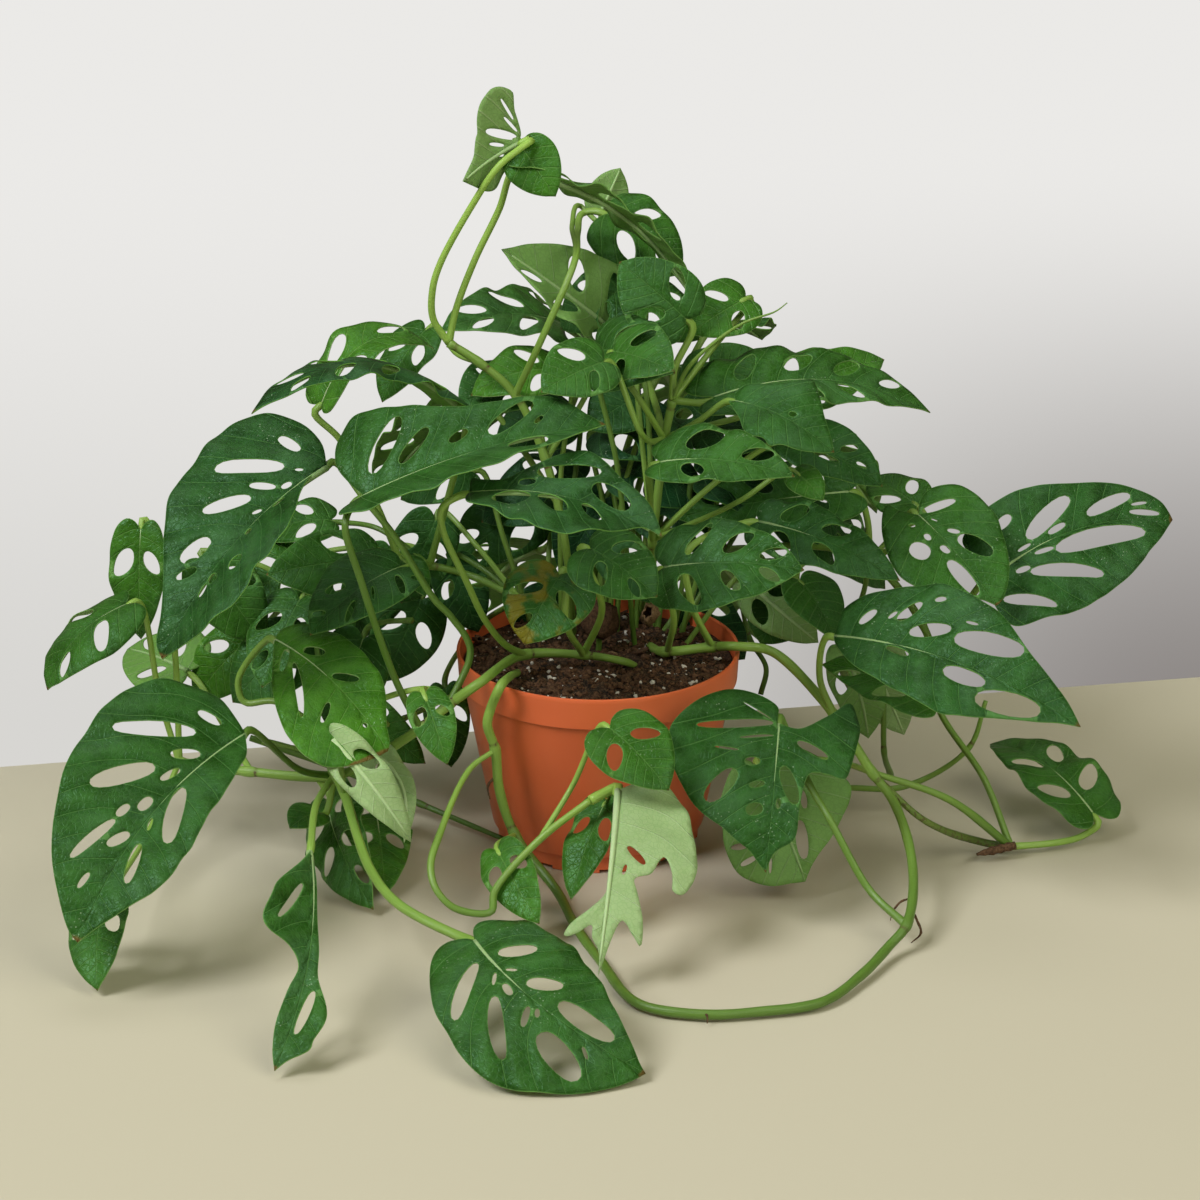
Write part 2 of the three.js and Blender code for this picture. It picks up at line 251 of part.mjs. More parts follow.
// stem it belongs to, leaf that it carries, radius, route.
// The first row of each stem is the trailing stem itself, and it starts in the soil.
const STEMS = [
  ["vine_left", "", 3.2, [[22,-4,98], [13,-19,108], [-8,-15,110], [-39,-22,113], [-62,-64,114],
    [-78,-62,101], [-93,-70,91], [-112,-66,76], [-140,-50,55], [-185,-40,53], [-225,-20,50]]],
  ["vine_left", "leaf_17", 2.1, [[-39,-22,113], [-49,-40,126], [-59,-60,148], [-68,-80,178],
    [-79,-92,210], [-79,-96,223]]],
  ["vine_left", "leaf_34", 2.1, [[-8,-15,110], [-17,-50,144]]],
  ["vine_left", "leaf_35", 2.1, [[-8,-15,110], [2,-36,144]]],
  ["vine_left", "leaf_16", 2.1, [[-93,-70,91], [-105,-75,120], [-121,-92,182], [-128,-98,215]]],
  ["vine_left", "leaf_01", 2.1, [[-78,-62,101], [-67,-50,127], [-77,-48,145], [-85,-48,154],
    [-106,-45,189], [-121,-42,208]]],
  ["vine_left", "leaf_07", 2.1, [[-112,-66,76], [-141,-58,82], [-170,-46,96], [-187,-42,94],
    [-190,-40,106]]],
  ["vine_left", "leaf_04", 2.1, [[-140,-50,55], [-156,-70,67]]],
  ["vine_left", "leaf_06", 2.1, [[-140,-50,55], [-150,-26,43]]],
  ["vine_left", "sprout_03", 2.1, [[-112,-66,76], [-117,-30,49]]],
  ["vine_left", "sprout_04", 2.1, [[-140,-50,55]]],
  ["vine_left", "leaf_05", 2.1, [[-140,-50,55], [-145,-120,69]]],
  ["vine_left", "sprout_14", 1.8, [[-78,-62,101], [-88,-70,113], [-114,-70,107]]],
  ["vine_left", "sprout_15", 1.6, [[-78,-62,101]]],
  ["vine_left", "leaf_44", 2.6, [[-140,-50,55], [-140,-64,65], [-132,-92,63], [-116,-150,47],
    [-99,-185,43]]],
  ["vine_left", "leaf_03", 1.9, [[-225,-20,50], [-235,-10,82]]],
  ["vine_left", "leaf_02", 1.9, [[-225,-20,50], [-227,0,101], [-231,8,155]]],
  ["vine_left", "sprout_01", 1.9, [[-185,-40,53], [-205,10,62]]],
  ["vine_left", "sprout_02", 1.7, [[-225,-20,50], [-238,-60,28]]],
  ["vine_floor", "", 3.2, [[-42,-10,98], [-46,-47,111], [-51,-72,115], [-56,-67,101], [-58,-67,92],
    [-54,-64,76], [-52,-64,53], [-44,-70,30], [-22,-92,8], [-12,-128,5], [1,-167,4], [21,-217,4],
    [51,-228,4], [80,-225,4], [111,-215,4], [133,-186,5], [149,-158,8], [158,-147,14], [164,-95,27],
    [156,-60,45], [145,-52,58], [125,-40,86], [99,-22,110], [89,-14,113], [73,-15,115], [61,-6,111],
    [37,-8,109], [27,28,98]]],
  ["vine_floor", "", 2.9, [[145,-52,58], [187,-45,39], [222,-33,6]]],
  ["vine_floor", "", 2.6, [[145,-52,58], [171,-60,35], [206,-31,8], [222,-33,6]]],
  ["vine_floor", "leaf_39", 2.1, [[222,-33,6], [249,-25,5], [262,-17,5]]],
  ["vine_floor", "", 2.4, [[-54,-64,76], [-67,-75,70], [-82,-115,50], [-86,-130,40], [-83,-140,31],
    [-73,-146,23], [-55,-146,21], [-53,-135,28], [-30,-120,50], [-4,-118,71]]],
  ["vine_floor", "leaf_43", 2.2, [[-4,-118,71]]],
  ["vine_floor", "leaf_42", 1.8, [[-30,-120,50], [-13,-102,73]]],
  ["vine_floor", "sprout_12", 1.6, [[-4,-118,71]]],
  ["vine_floor", "sprout_13", 1.6, [[-44,-70,30]]],
  ["vine_floor", "leaf_40", 2.4, [[158,-147,14], [140,-125,24], [120,-108,56], [109,-90,70]]],
  ["vine_floor", "leaf_41", 1.9, [[145,-52,58], [125,-20,51]]],
  ["vine_floor", "leaf_38", 2.1, [[125,-40,86], [117,-42,107]]],
  ["vine_floor", "leaf_37", 2.1, [[222,-33,6], [209,-10,35], [184,22,69], [192,12,114]]],
  ["vine_floor", "leaf_31", 2.1, [[37,-6,108], [39,-50,149]]],
  ["vine_floor", "leaf_32", 2.1, [[61,-6,111], [49,-20,143], [48,-20,172]]],
  ["vine_top", "", 2.8, [[-13,36,98], [-18,15,164], [-28,25,206], [-44,30,241], [-63,30,259],
    [-79,30,270]]],
  ["vine_top", "leaf_18", 2.1, [[-79,30,270], [-87,28,284], [-87,25,301], [-83,24,315], [-67,20,346],
    [-51,16,371]]],
  ["vine_top", "leaf_19", 2.1, [[-79,30,270], [-75,32,288], [-65,36,314], [-52,38,341]]],
  ["vine_top", "leaf_20", 2.1, [[-44,30,241], [-30,12,277], [-13,22,315], [-11,66,320], [-8,97,322]]],
  ["vine_top", "sprout_06", 1.6, [[-44,30,241], [-30,12,277], [-13,22,315], [-14,80,320],
    [-10,118,320]]],
  ["vine_top", "leaf_13", 1.9, [[-63,30,259], [-77,64,254]]],
  ["vine_top", "leaf_14", 2.1, [[-28,25,206], [-13,75,223]]],
  ["vine_top", "leaf_15", 1.9, [[-28,25,206], [-32,50,217]]],
  ["vine_top", "sprout_07", 1.7, [[-28,25,206], [-3,60,239]]],
  ["vine_middle", "", 2.8, [[23,59,98], [29,5,168], [35,0,226], [39,0,248]]],
  ["vine_middle", "leaf_22", 2.1, [[39,0,248], [40,6,263]]],
  ["vine_middle", "", 2, [[39,0,248], [48,-5,269], [74,-10,293], [92,-10,300], [98,-8,304]]],
  ["vine_middle", "sprout_08", 1.9, [[39,0,248], [60,22,269]]],
  ["vine_middle", "leaf_21", 2.1, [[35,0,226], [30,45,233], [23,70,245]]],
  ["vine_middle", "leaf_23", 1.9, [[35,0,226], [22,-15,253]]],
  ["vine_middle", "leaf_24", 1.9, [[35,0,226], [22,-52,248]]],
  ["vine_middle", "leaf_25", 2.1, [[39,0,248]]],
  ["vine_middle", "leaf_26", 1.9, [[35,0,226], [60,30,224]]],
  ["vine_middle", "leaf_27", 1.9, [[35,0,226], [53,-20,244]]],
  ["vine_middle", "leaf_28", 1.9, [[29,5,168], [64,0,204]]],
  ["vine_middle", "leaf_29", 2.1, [[29,5,168], [27,-40,207]]],
  ["vine_back_left", "", 2.6, [[-29,59,98], [-42,10,132], [-69,30,138], [-91,30,144], [-107,25,149],
    [-128,20,136], [-150,20,128]]],
  ["vine_back_left", "leaf_08", 1.9, [[-150,20,128]]],
  ["vine_back_left", "leaf_09", 1.9, [[-107,25,149]]],
  ["vine_back_left", "leaf_10", 1.9, [[-91,30,144], [-97,0,158]]],
  ["vine_back_left", "sprout_05", 1.5, [[-91,30,144]]],
  ["vine_back_left", "leaf_11", 2.1, [[-91,30,144], [-76,20,202], [-71,10,223]]],
  ["vine_back_left", "leaf_12", 2.1, [[-107,25,149], [-120,28,182], [-138,30,216]]],
  ["vine_back_right", "", 2.6, [[32,46,98], [38,54,122], [67,60,136], [110,50,148], [147,40,143],
    [174,20,116], [187,0,84]]],
  ["vine_middle", "sprout_09", 1.6, [[29,5,168], [74,-38,206]]],
  ["vine_back_right", "leaf_30", 2.1, [[147,40,143], [146,46,164]]],
  ["vine_back_right", "leaf_33", 1.9, [[110,50,148], [108,42,134]]],
  ["vine_back_right", "sprout_10", 1.9, [[110,50,148], [112,30,147]]],
  ["vine_back_right", "leaf_36", 2.1, [[147,40,143], [162,20,162]]],
  ["vine_back_right", "sprout_11", 1.7, [[147,40,143], [164,48,158]]],
  ["vine_back_right", "leaf_45", 1.9, [[187,0,84]]],
  ["vine_back_right", "sprout_16", 1.9, [[174,20,116], [153,24,112]]],
  ["vine_back", "", 2.8, [[5,38,98], [6,52,118], [8,84,140], [10,96,110], [14,112,60], [20,130,20],
    [40,150,5]]],
  ["vine_back", "leaf_46", 2.1, [[6,52,118], [-30,66,180]]],
  ["vine_back", "leaf_47", 2.1, [[6,52,118], [14,74,190]]],
  ["vine_back", "leaf_48", 2.1, [[6,52,118], [50,70,170]]],
  ["vine_back", "leaf_49", 2.1, [[8,84,140], [-16,104,138]]],
  ["vine_back", "leaf_50", 2.1, [[8,84,140], [36,104,138]]],
  ["vine_back", "sprout_17", 2.1, [[6,52,118], [30,72,200]]],
];

const COLOURS = {
  pot: [0xb4552b, 0.55], soil: [0x2a1d15, 1], leaf: [0x2c5a2e, 0.45], vine: [0x6f9440, 0.5],
};

// ---------------------------------------------------------------- helpers
const vec = (p) => new THREE.Vector3(...p);
const material = ([color, roughness]) => new THREE.MeshStandardMaterial({ color, roughness, metalness: 0 });

function solid(geometry) {
  geometry.deleteAttribute("normal");
  geometry.deleteAttribute("uv");
  const merged = mergeVertices(geometry, 1e-4);
  return new wasm.Manifold(new wasm.Mesh({
    numProp: 3,
    vertProperties: new Float32Array(merged.attributes.position.array),
    triVerts: new Uint32Array(merged.index.array),
  }));
}

function meshOf(name, body, look) {
  const { vertProperties, triVerts } = body.translate([-MIDDLE[0], -MIDDLE[1], 0]).getMesh();
  const geometry = new THREE.BufferGeometry();
  geometry.setAttribute("position", new THREE.BufferAttribute(Float32Array.from(vertProperties), 3));
  geometry.setIndex(Array.from(triVerts));
  geometry.computeVertexNormals();
  const mesh = new THREE.Mesh(geometry, material(look));
  mesh.name = name;
  return mesh;
}

// ---------------------------------------------------------------- leaf blade
/** Bends the flat leaf into its place: at(v, u) is v mm across the rib and a share u along it. */
function bend([, base, tip, width, facing, arch, sway, fold, curl, twist]) {
  const start = vec(base);
  const along = vec(tip).sub(start);
  const length = along.length();
  along.normalize();
  const up = vec(facing).projectOnPlane(along).normalize();
  const across = along.clone().cross(up);
  const rib = (u) => {
    const bow = length * (u < 0 ? 4 * u : u > 1 ? 4 * (1 - u) : 4 * u * (1 - u));
    return start.clone().addScaledVector(along, u * length).addScaledVector(up, arch * bow)
      .addScaledVector(across, sway * bow);
  };
  const at = (v, u) => {
    const run = rib(u + 0.01).sub(rib(u - 0.01)).normalize();
    const flatSide = across.clone().projectOnPlane(run).normalize();
    const flatUp = flatSide.clone().cross(run);
    const turn = THREE.MathUtils.degToRad(twist * (u - 0.5));
    const side = flatSide.clone().multiplyScalar(Math.cos(turn)).addScaledVector(flatUp, Math.sin(turn));
    const rise = side.clone().cross(run);
    const half = v > 0 ? 1 : 0;
    const f = THREE.MathUtils.degToRad(fold[half]);
    const k = THREE.MathUtils.degToRad(curl[half]) / width[half];
    const a = Math.abs(v);
    const out = k ? (Math.sin(f + k * a) - Math.sin(f)) / k : a * Math.cos(f);
    const lift = k ? (Math.cos(f) - Math.cos(f + k * a)) / k : a * Math.sin(f);
    return rib(u).addScaledVector(side, out * Math.sign(v)).addScaledVector(rise, lift);
  };
  return { at, length, along, up, start };
}

/** Draws a repeatable number from -1 to 1 for hole k of a leaf. */
const jitter = (seed, k) => 2 * (Math.abs(Math.sin(seed * 12.9898 + k * 78.233) * 43758.5453) % 1) - 1;

/** A hole from end to end with its widest place halfway, as a loop of [v, y]. */
function oblong([v0, y0, v1, y1, w]) {
  const k = w / 2 / Math.hypot(v1 - v0, y1 - y0);
  const [v, y, dv, dy] = [(v0 + v1) / 2, (y0 + y1) / 2, k * (y0 - y1), k * (v1 - v0)];
  return [[v0, y0], [v - dv, y - dy], [v1, y1], [v + dv, y + dy]];
}

/** Oblong holes between the side veins of one half, as loops of [v, y] in mm. */
function holes(width, length, seed) {
  const rows = Math.min(5, Math.max(2, Math.round(length / 29)));
  const pitch = (0.84 * length) / rows;
  const edge = HALF_LEAF.map(([x, y]) => [x * width, y * length]);
  const reach = (y) => {
    for (let i = 1; i < edge.length; i += 1) {
      const [[x0, y0], [x1, y1]] = [edge[i - 1], edge[i]];
      if (y >= y0 && y < y1) return x0 + ((x1 - x0) * (y - y0)) / (y1 - y0);
    }
    return 0;
  };
  const loops = [];
  for (let k = 0; k < rows; k += 1) {
    const y0 = 0.02 * length + (k + 0.5) * pitch;
    const slope = 0.15 + (0.75 * y0) / length;
    const vein = (x) => y0 + slope * x + (0.25 * x * x) / width;
    let far = 0;
    while (far < width && far < reach(vein(far))) far += 0.5;
    if (far < 11) continue;
    const inner = far * (0.26 + 0.05 * jitter(seed, k));
    const outer = far * (0.76 + 0.05 * jitter(seed, k + 9));
    const mid = inner + 0.55 * (outer - inner);
    const half = pitch * (0.27 + 0.05 * jitter(seed, k + 17));
    const loop = [[inner, 0], [mid, -half], [outer, 0], [mid, half]];
    loops.push(loop.map(([x, d]) => [x, vein(x) + d]));
  }
  return loops;
}

/** One closed blade with its holes, as a solid. */
function blade(row, seed) {
  const [, , , width] = row;
  const lobe = row[10] ?? 1;
  const own = OWN[row[0]] ?? {};
  const { at, length } = bend(row);
  const ribSteps = length > 80 ? 5 : 3;
  const flat = [];        // [v, u] of each vertex
  const faces = [];
  const key = new Map();
  const index = (v, u) => {
    const name = `${v.toFixed(3)},${u.toFixed(4)}`;
    if (!key.has(name)) key.set(name, flat.push([v, u]) - 1);
    return key.get(name);
  };
  for (const half of [0, 1]) {
    const sign = half ? 1 : -1;
    const contour = [];
    for (let i = 0; i <= ribSteps; i += 1) contour.push([0, i / ribSteps]);
    const edge = own[half ? "right" : "left"]?.map(([v, y]) => [v, y / length])
      ?? HALF_LEAF.map(([x, y]) => [x * width[half], y < 0 ? y * lobe : y]);
    contour.push(...edge.reverse().map(([v, u]) => [sign * v, u]));
    let rings = [];
    if (own.holes) rings = own.holes.filter(([v]) => v * sign > 0).map((hole) => oblong(hole));
    else if (!row[0].startsWith("sprout")) {
      rings = holes(width[half], length, seed + half * 5).map((loop) => loop.map(([x, y]) => [sign * x, y]));
    }
    rings = rings.map((loop) => loop.map(([v, y]) => [v, y / length]));
    const shape = contour.map(([v, u]) => new THREE.Vector2(v, u * length));
    const cut = rings.map((ring) => ring.map(([v, u]) => new THREE.Vector2(v, u * length)));
    const ids = [...contour, ...rings.flat()].map(([v, u]) => index(v, u));
    for (const face of THREE.ShapeUtils.triangulateShape(shape, cut)) {
      const [a, b, c] = face.map((i) => ids[i]);
      const area = (flat[b][0] - flat[a][0]) * (flat[c][1] - flat[a][1])
        - (flat[c][0] - flat[a][0]) * (flat[b][1] - flat[a][1]);
      if (Math.abs(area) > 1e-9) faces.push(area > 0 ? [a, b, c] : [a, c, b]);
    }
  }
  // both faces share one triangulation; every edge used once gets a wall
  const count = flat.length;
  const middle = flat.map(([v, u]) => at(v, u));
  const normals = middle.map(() => new THREE.Vector3());
  for (const [a, b, c] of faces) {
    const n = middle[b].clone().sub(middle[a]).cross(middle[c].clone().sub(middle[a]));
    for (const i of [a, b, c]) normals[i].add(n);
  }
  const positions = [];
  for (const side of [0.5, -0.5]) {
    middle.forEach((p, i) => positions.push(...p.clone()
      .addScaledVector(normals[i].clone().normalize(), side * BLADE).toArray()));
  }
  const triangles = [];
  const open = new Map();
  for (const [a, b, c] of faces) {
    triangles.push(a, b, c, c + count, b + count, a + count);
    for (const [i, j] of [[a, b], [b, c], [c, a]]) {
      if (!open.delete(`${j},${i}`)) open.set(`${i},${j}`, [i, j]);
    }
  }
  for (const [i, j] of open.values()) triangles.push(i, i + count, j + count, i, j + count, j);
  const geometry = new THREE.BufferGeometry();
  geometry.setAttribute("position", new THREE.Float32BufferAttribute(positions, 3));
  geometry.setIndex(triangles);
  return solid(geometry);
}

// ---------------------------------------------------------------- stems
function tube(points, radius, facets) {
  const curve = new THREE.CatmullRomCurve3(points);
  const ring = new THREE.Shape(Array.from({ length: facets }, (_, i) => new THREE.Vector2(
    radius * Math.cos((2 * Math.PI * i) / facets), radius * Math.sin((2 * Math.PI * i) / facets))));
  const steps = Math.max(2, Math.round(curve.getLength() / (facets === STEM_FACETS ? STEM_STEP : STALK_STEP)));
  return solid(new THREE.ExtrudeGeometry(ring, { steps, bevelEnabled: false, extrudePath: curve }));
}

/** A stalk's last two points bring it in under the blade that it carries. */
function stalkEnd(leaf, radius, fused) {
  const { along, up, start } = bend(leaf);
  const before = start.clone().addScaledVector(up, -radius - BASE_UNDER).addScaledVector(along, -BASE_BEHIND);
  const end = fused ? start.clone().addScaledVector(along, 4).addScaledVector(up, 0.8)
    : start.clone().addScaledVector(up, -radius - BLADE / 2 - FIT - 0.05);
  return [before, end];
}

function leafyStems() {
  const byName = new Map(LEAVES.map((row, i) => [row[0], { row, seed: i + 1 }]));
  const bodies = new Map();
  for (const [stem, leaf, radius, route] of STEMS) {
    const points = route.map(vec);
    let body;
    if (leaf) {
      const { row, seed } = byName.get(leaf);
      const fused = leaf.startsWith("sprout");
      body = tube([...points, ...stalkEnd(row, radius, fused)], radius, STALK_FACETS);
      if (fused) body = body.add(blade(row, seed));
    } else body = tube(points, radius, STEM_FACETS);
    bodies.set(stem, bodies.has(stem) ? bodies.get(stem).add(body) : body);
  }
  return bodies;
}

// ---------------------------------------------------------------- pot and soil
function pot() {
  const bodyTop = POT_H - RIM_BAND;
  const outer = (z) => FOOT_R + 1 + ((RIM_R - BAND_STEP - FOOT_R - 1) * z) / bodyTop;
  const profile = [
    [0, 3], [FOOT_R - 6, 3], [FOOT_R - 5, 0], [FOOT_R, 0], [FOOT_R, FOOT_STEP_Z],
    [outer(FOOT_STEP_Z), FOOT_STEP_Z + 0.6], [outer(bodyTop), bodyTop], [RIM_R - 1.2, bodyTop + 0.6],
    [RIM_R, POT_H], [RIM_R - WALL, POT_H], [RIM_R - BAND_STEP - WALL, bodyTop],
    [FOOT_R - WALL, 5], [0, 5],
  ].map(([x, y]) => new THREE.Vector2(x, y));
  let body = solid(new THREE.LatheGeometry(profile, LATHE_FACETS).rotateX(Math.PI / 2));
  for (let i = 0; i < DRAINS; i += 1) {
    const turn = THREE.MathUtils.degToRad(FIRST_NOTCH + (360 * i) / DRAINS);
    const notch = new THREE.BoxGeometry(14, NOTCH_W, 2 * NOTCH_H).translate(FOOT_R, 0, 0);
    body = body.subtract(solid(notch.rotateZ(turn)));
    if (i % 2) continue;
    const hole = new THREE.CylinderGeometry(DRAIN_R, DRAIN_R, 8, 6).rotateX(Math.PI / 2);
    body = body.subtract(solid(hole.translate(FOOT_R - 18, 0, 4).rotateZ(turn)));
  }
  return body;
}

function soil() {
  const bodyTop = POT_H - RIM_BAND;
  const inner = (z) => (z < bodyTop
    ? FOOT_R - WALL + ((RIM_R - BAND_STEP - FOOT_R) * (z - 5)) / (bodyTop - 5)
    : RIM_R - BAND_STEP - WALL + (BAND_STEP * (z - bodyTop)) / RIM_BAND) - FIT - 0.1;
  const profile = [
    [0, 5 + FIT], [inner(5 + FIT), 5 + FIT], [inner(bodyTop), bodyTop], [inner(SOIL_Z), SOIL_Z - 1],
    [0, SOIL_Z + SOIL_DOME],
  ].map(([x, y]) => new THREE.Vector2(x, y));
  let body = solid(new THREE.LatheGeometry(profile, LATHE_FACETS).rotateX(Math.PI / 2));
  for (const [, leaf, radius, route] of STEMS) {
    const points = route.map(vec);
    const inSoil = (p) => p.z < SOIL_Z && Math.hypot(p.x, p.y) < RIM_R;
    if (leaf || !(inSoil(points[0]) || inSoil(points.at(-1)))) continue;
    // the hole is the stem's own course, wider and a little longer
    for (const [end, next] of [[0, 1], [points.length - 1, points.length - 2]]) {
      if (inSoil(points[end])) {
        points[end] = points[end].clone().add(points[end].clone().sub(points[next]).setLength(1));
      }
    }
    body = body.subtract(tube(points, radius + 0.55, STEM_FACETS));
  }
  return body;
}

// ---------------------------------------------------------------- assembly
const group = new THREE.Group();
group.name = "monstera_adansonii";
const stems = leafyStems();
group.add(meshOf("pot", pot(), COLOURS.pot));
group.add(meshOf("soil", soil(), COLOURS.soil));
for (const [name, body] of stems) group.add(meshOf(name, body, COLOURS.vine));
LEAVES.forEach((row, i) => {
  if (row[0].startsWith("leaf")) group.add(meshOf(row[0], blade(row, i + 1), COLOURS.leaf));
});
export default group;
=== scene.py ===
"""Swiss cheese plant in a six-inch azalea pot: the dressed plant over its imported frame.

The tables give the plant in millimetres, with +Z up, +Y away from the front, and the middle of the
pot's foot at 0; a finished piece is then moved home. The tables and curves are those of the part's own
source, so every leaf and stem stays where its solid is. Lengths turn into metres only when a mesh is made.
"""

import math
import random

import bmesh
import bpy
import numpy as np
from mathutils import Euler, Matrix, Vector
from mathutils.geometry import delaunay_2d_cdt


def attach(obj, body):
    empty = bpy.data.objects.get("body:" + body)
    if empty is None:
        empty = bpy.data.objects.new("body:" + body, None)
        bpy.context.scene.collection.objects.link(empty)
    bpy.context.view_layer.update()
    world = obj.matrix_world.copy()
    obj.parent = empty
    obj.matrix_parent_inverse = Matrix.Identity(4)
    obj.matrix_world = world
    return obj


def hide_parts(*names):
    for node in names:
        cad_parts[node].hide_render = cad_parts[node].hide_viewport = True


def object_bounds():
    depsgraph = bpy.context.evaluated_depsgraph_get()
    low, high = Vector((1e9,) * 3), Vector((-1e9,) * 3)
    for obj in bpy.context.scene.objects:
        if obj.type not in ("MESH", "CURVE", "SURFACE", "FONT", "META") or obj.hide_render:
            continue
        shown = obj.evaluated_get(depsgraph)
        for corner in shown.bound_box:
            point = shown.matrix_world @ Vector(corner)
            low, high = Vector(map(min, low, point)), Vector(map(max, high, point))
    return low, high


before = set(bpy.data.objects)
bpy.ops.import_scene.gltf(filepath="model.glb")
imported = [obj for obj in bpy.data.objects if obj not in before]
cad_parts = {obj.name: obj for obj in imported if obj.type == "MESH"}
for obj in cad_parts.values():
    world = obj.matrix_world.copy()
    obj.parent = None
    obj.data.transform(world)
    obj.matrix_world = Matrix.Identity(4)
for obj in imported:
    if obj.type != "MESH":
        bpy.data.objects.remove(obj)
cad_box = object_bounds()
bpy.ops.object.select_all(action="DESELECT")

MM = 0.001
MIDDLE = (7.7, -56.4)     # middle of the whole plant, seen from the middle of the pot: the origin's place
HOME = Matrix.Translation((-MIDDLE[0] * MM, -MIDDLE[1] * MM, 0))

# ------------------------------------------------------------------ driving sizes
RIM_R, POT_H, FOOT_R = 76, 109, 54.3
RIM_BAND, BAND_STEP, WALL = 17.5, 3.2, 2
FOOT_STEP_Z = 10
DRAINS, NOTCH_W, NOTCH_H, FIRST_NOTCH, DRAIN_R = 10, 8, 2.2, -85, 3.5
SOIL_Z, SOIL_DOME = 102, 1.5
BLADE = 0.8               # the solid blade; the real one is thinner
BLADE_FINE = 0.55
BASE_UNDER, BASE_BEHIND = 3.5, 9
FIT = 0.3
MESH = 2.3                # spacing of the points inside a blade
QUILT, GROOVE, LIP = 0.10, 0.30, 0.25       # rise between side veins, dip along the rib, rim round a hole
SWELL = 0.42              # slow hills over a blade
RIPPLE_OWN, RIPPLE = 1.2, 2.4               # waves of the edge, on leaves with edges of their own and on others
VEIN_GAP = 14             # between neighbouring side veins on a large leaf
VINE_THIN, STALK_THIN = 0.80, 0.88   # the real stems beside their many-sided solids
INNER_STALK = 1.7
INNER_SEED = 80           # seeds of the leaves inside the crown start here, clear of those of LEAVES
MIX_R = 68                # grains lie within this radius

# Half of a flat leaf, from the stalk round to the drip tip: share of the half width, share of the length.
HALF_LEAF = [(0.22, -0.075), (0.52, -0.085), (0.84, 0.03), (1, 0.25), (0.93, 0.48), (0.70, 0.70),
             (0.38, 0.87), (0.13, 0.955)]

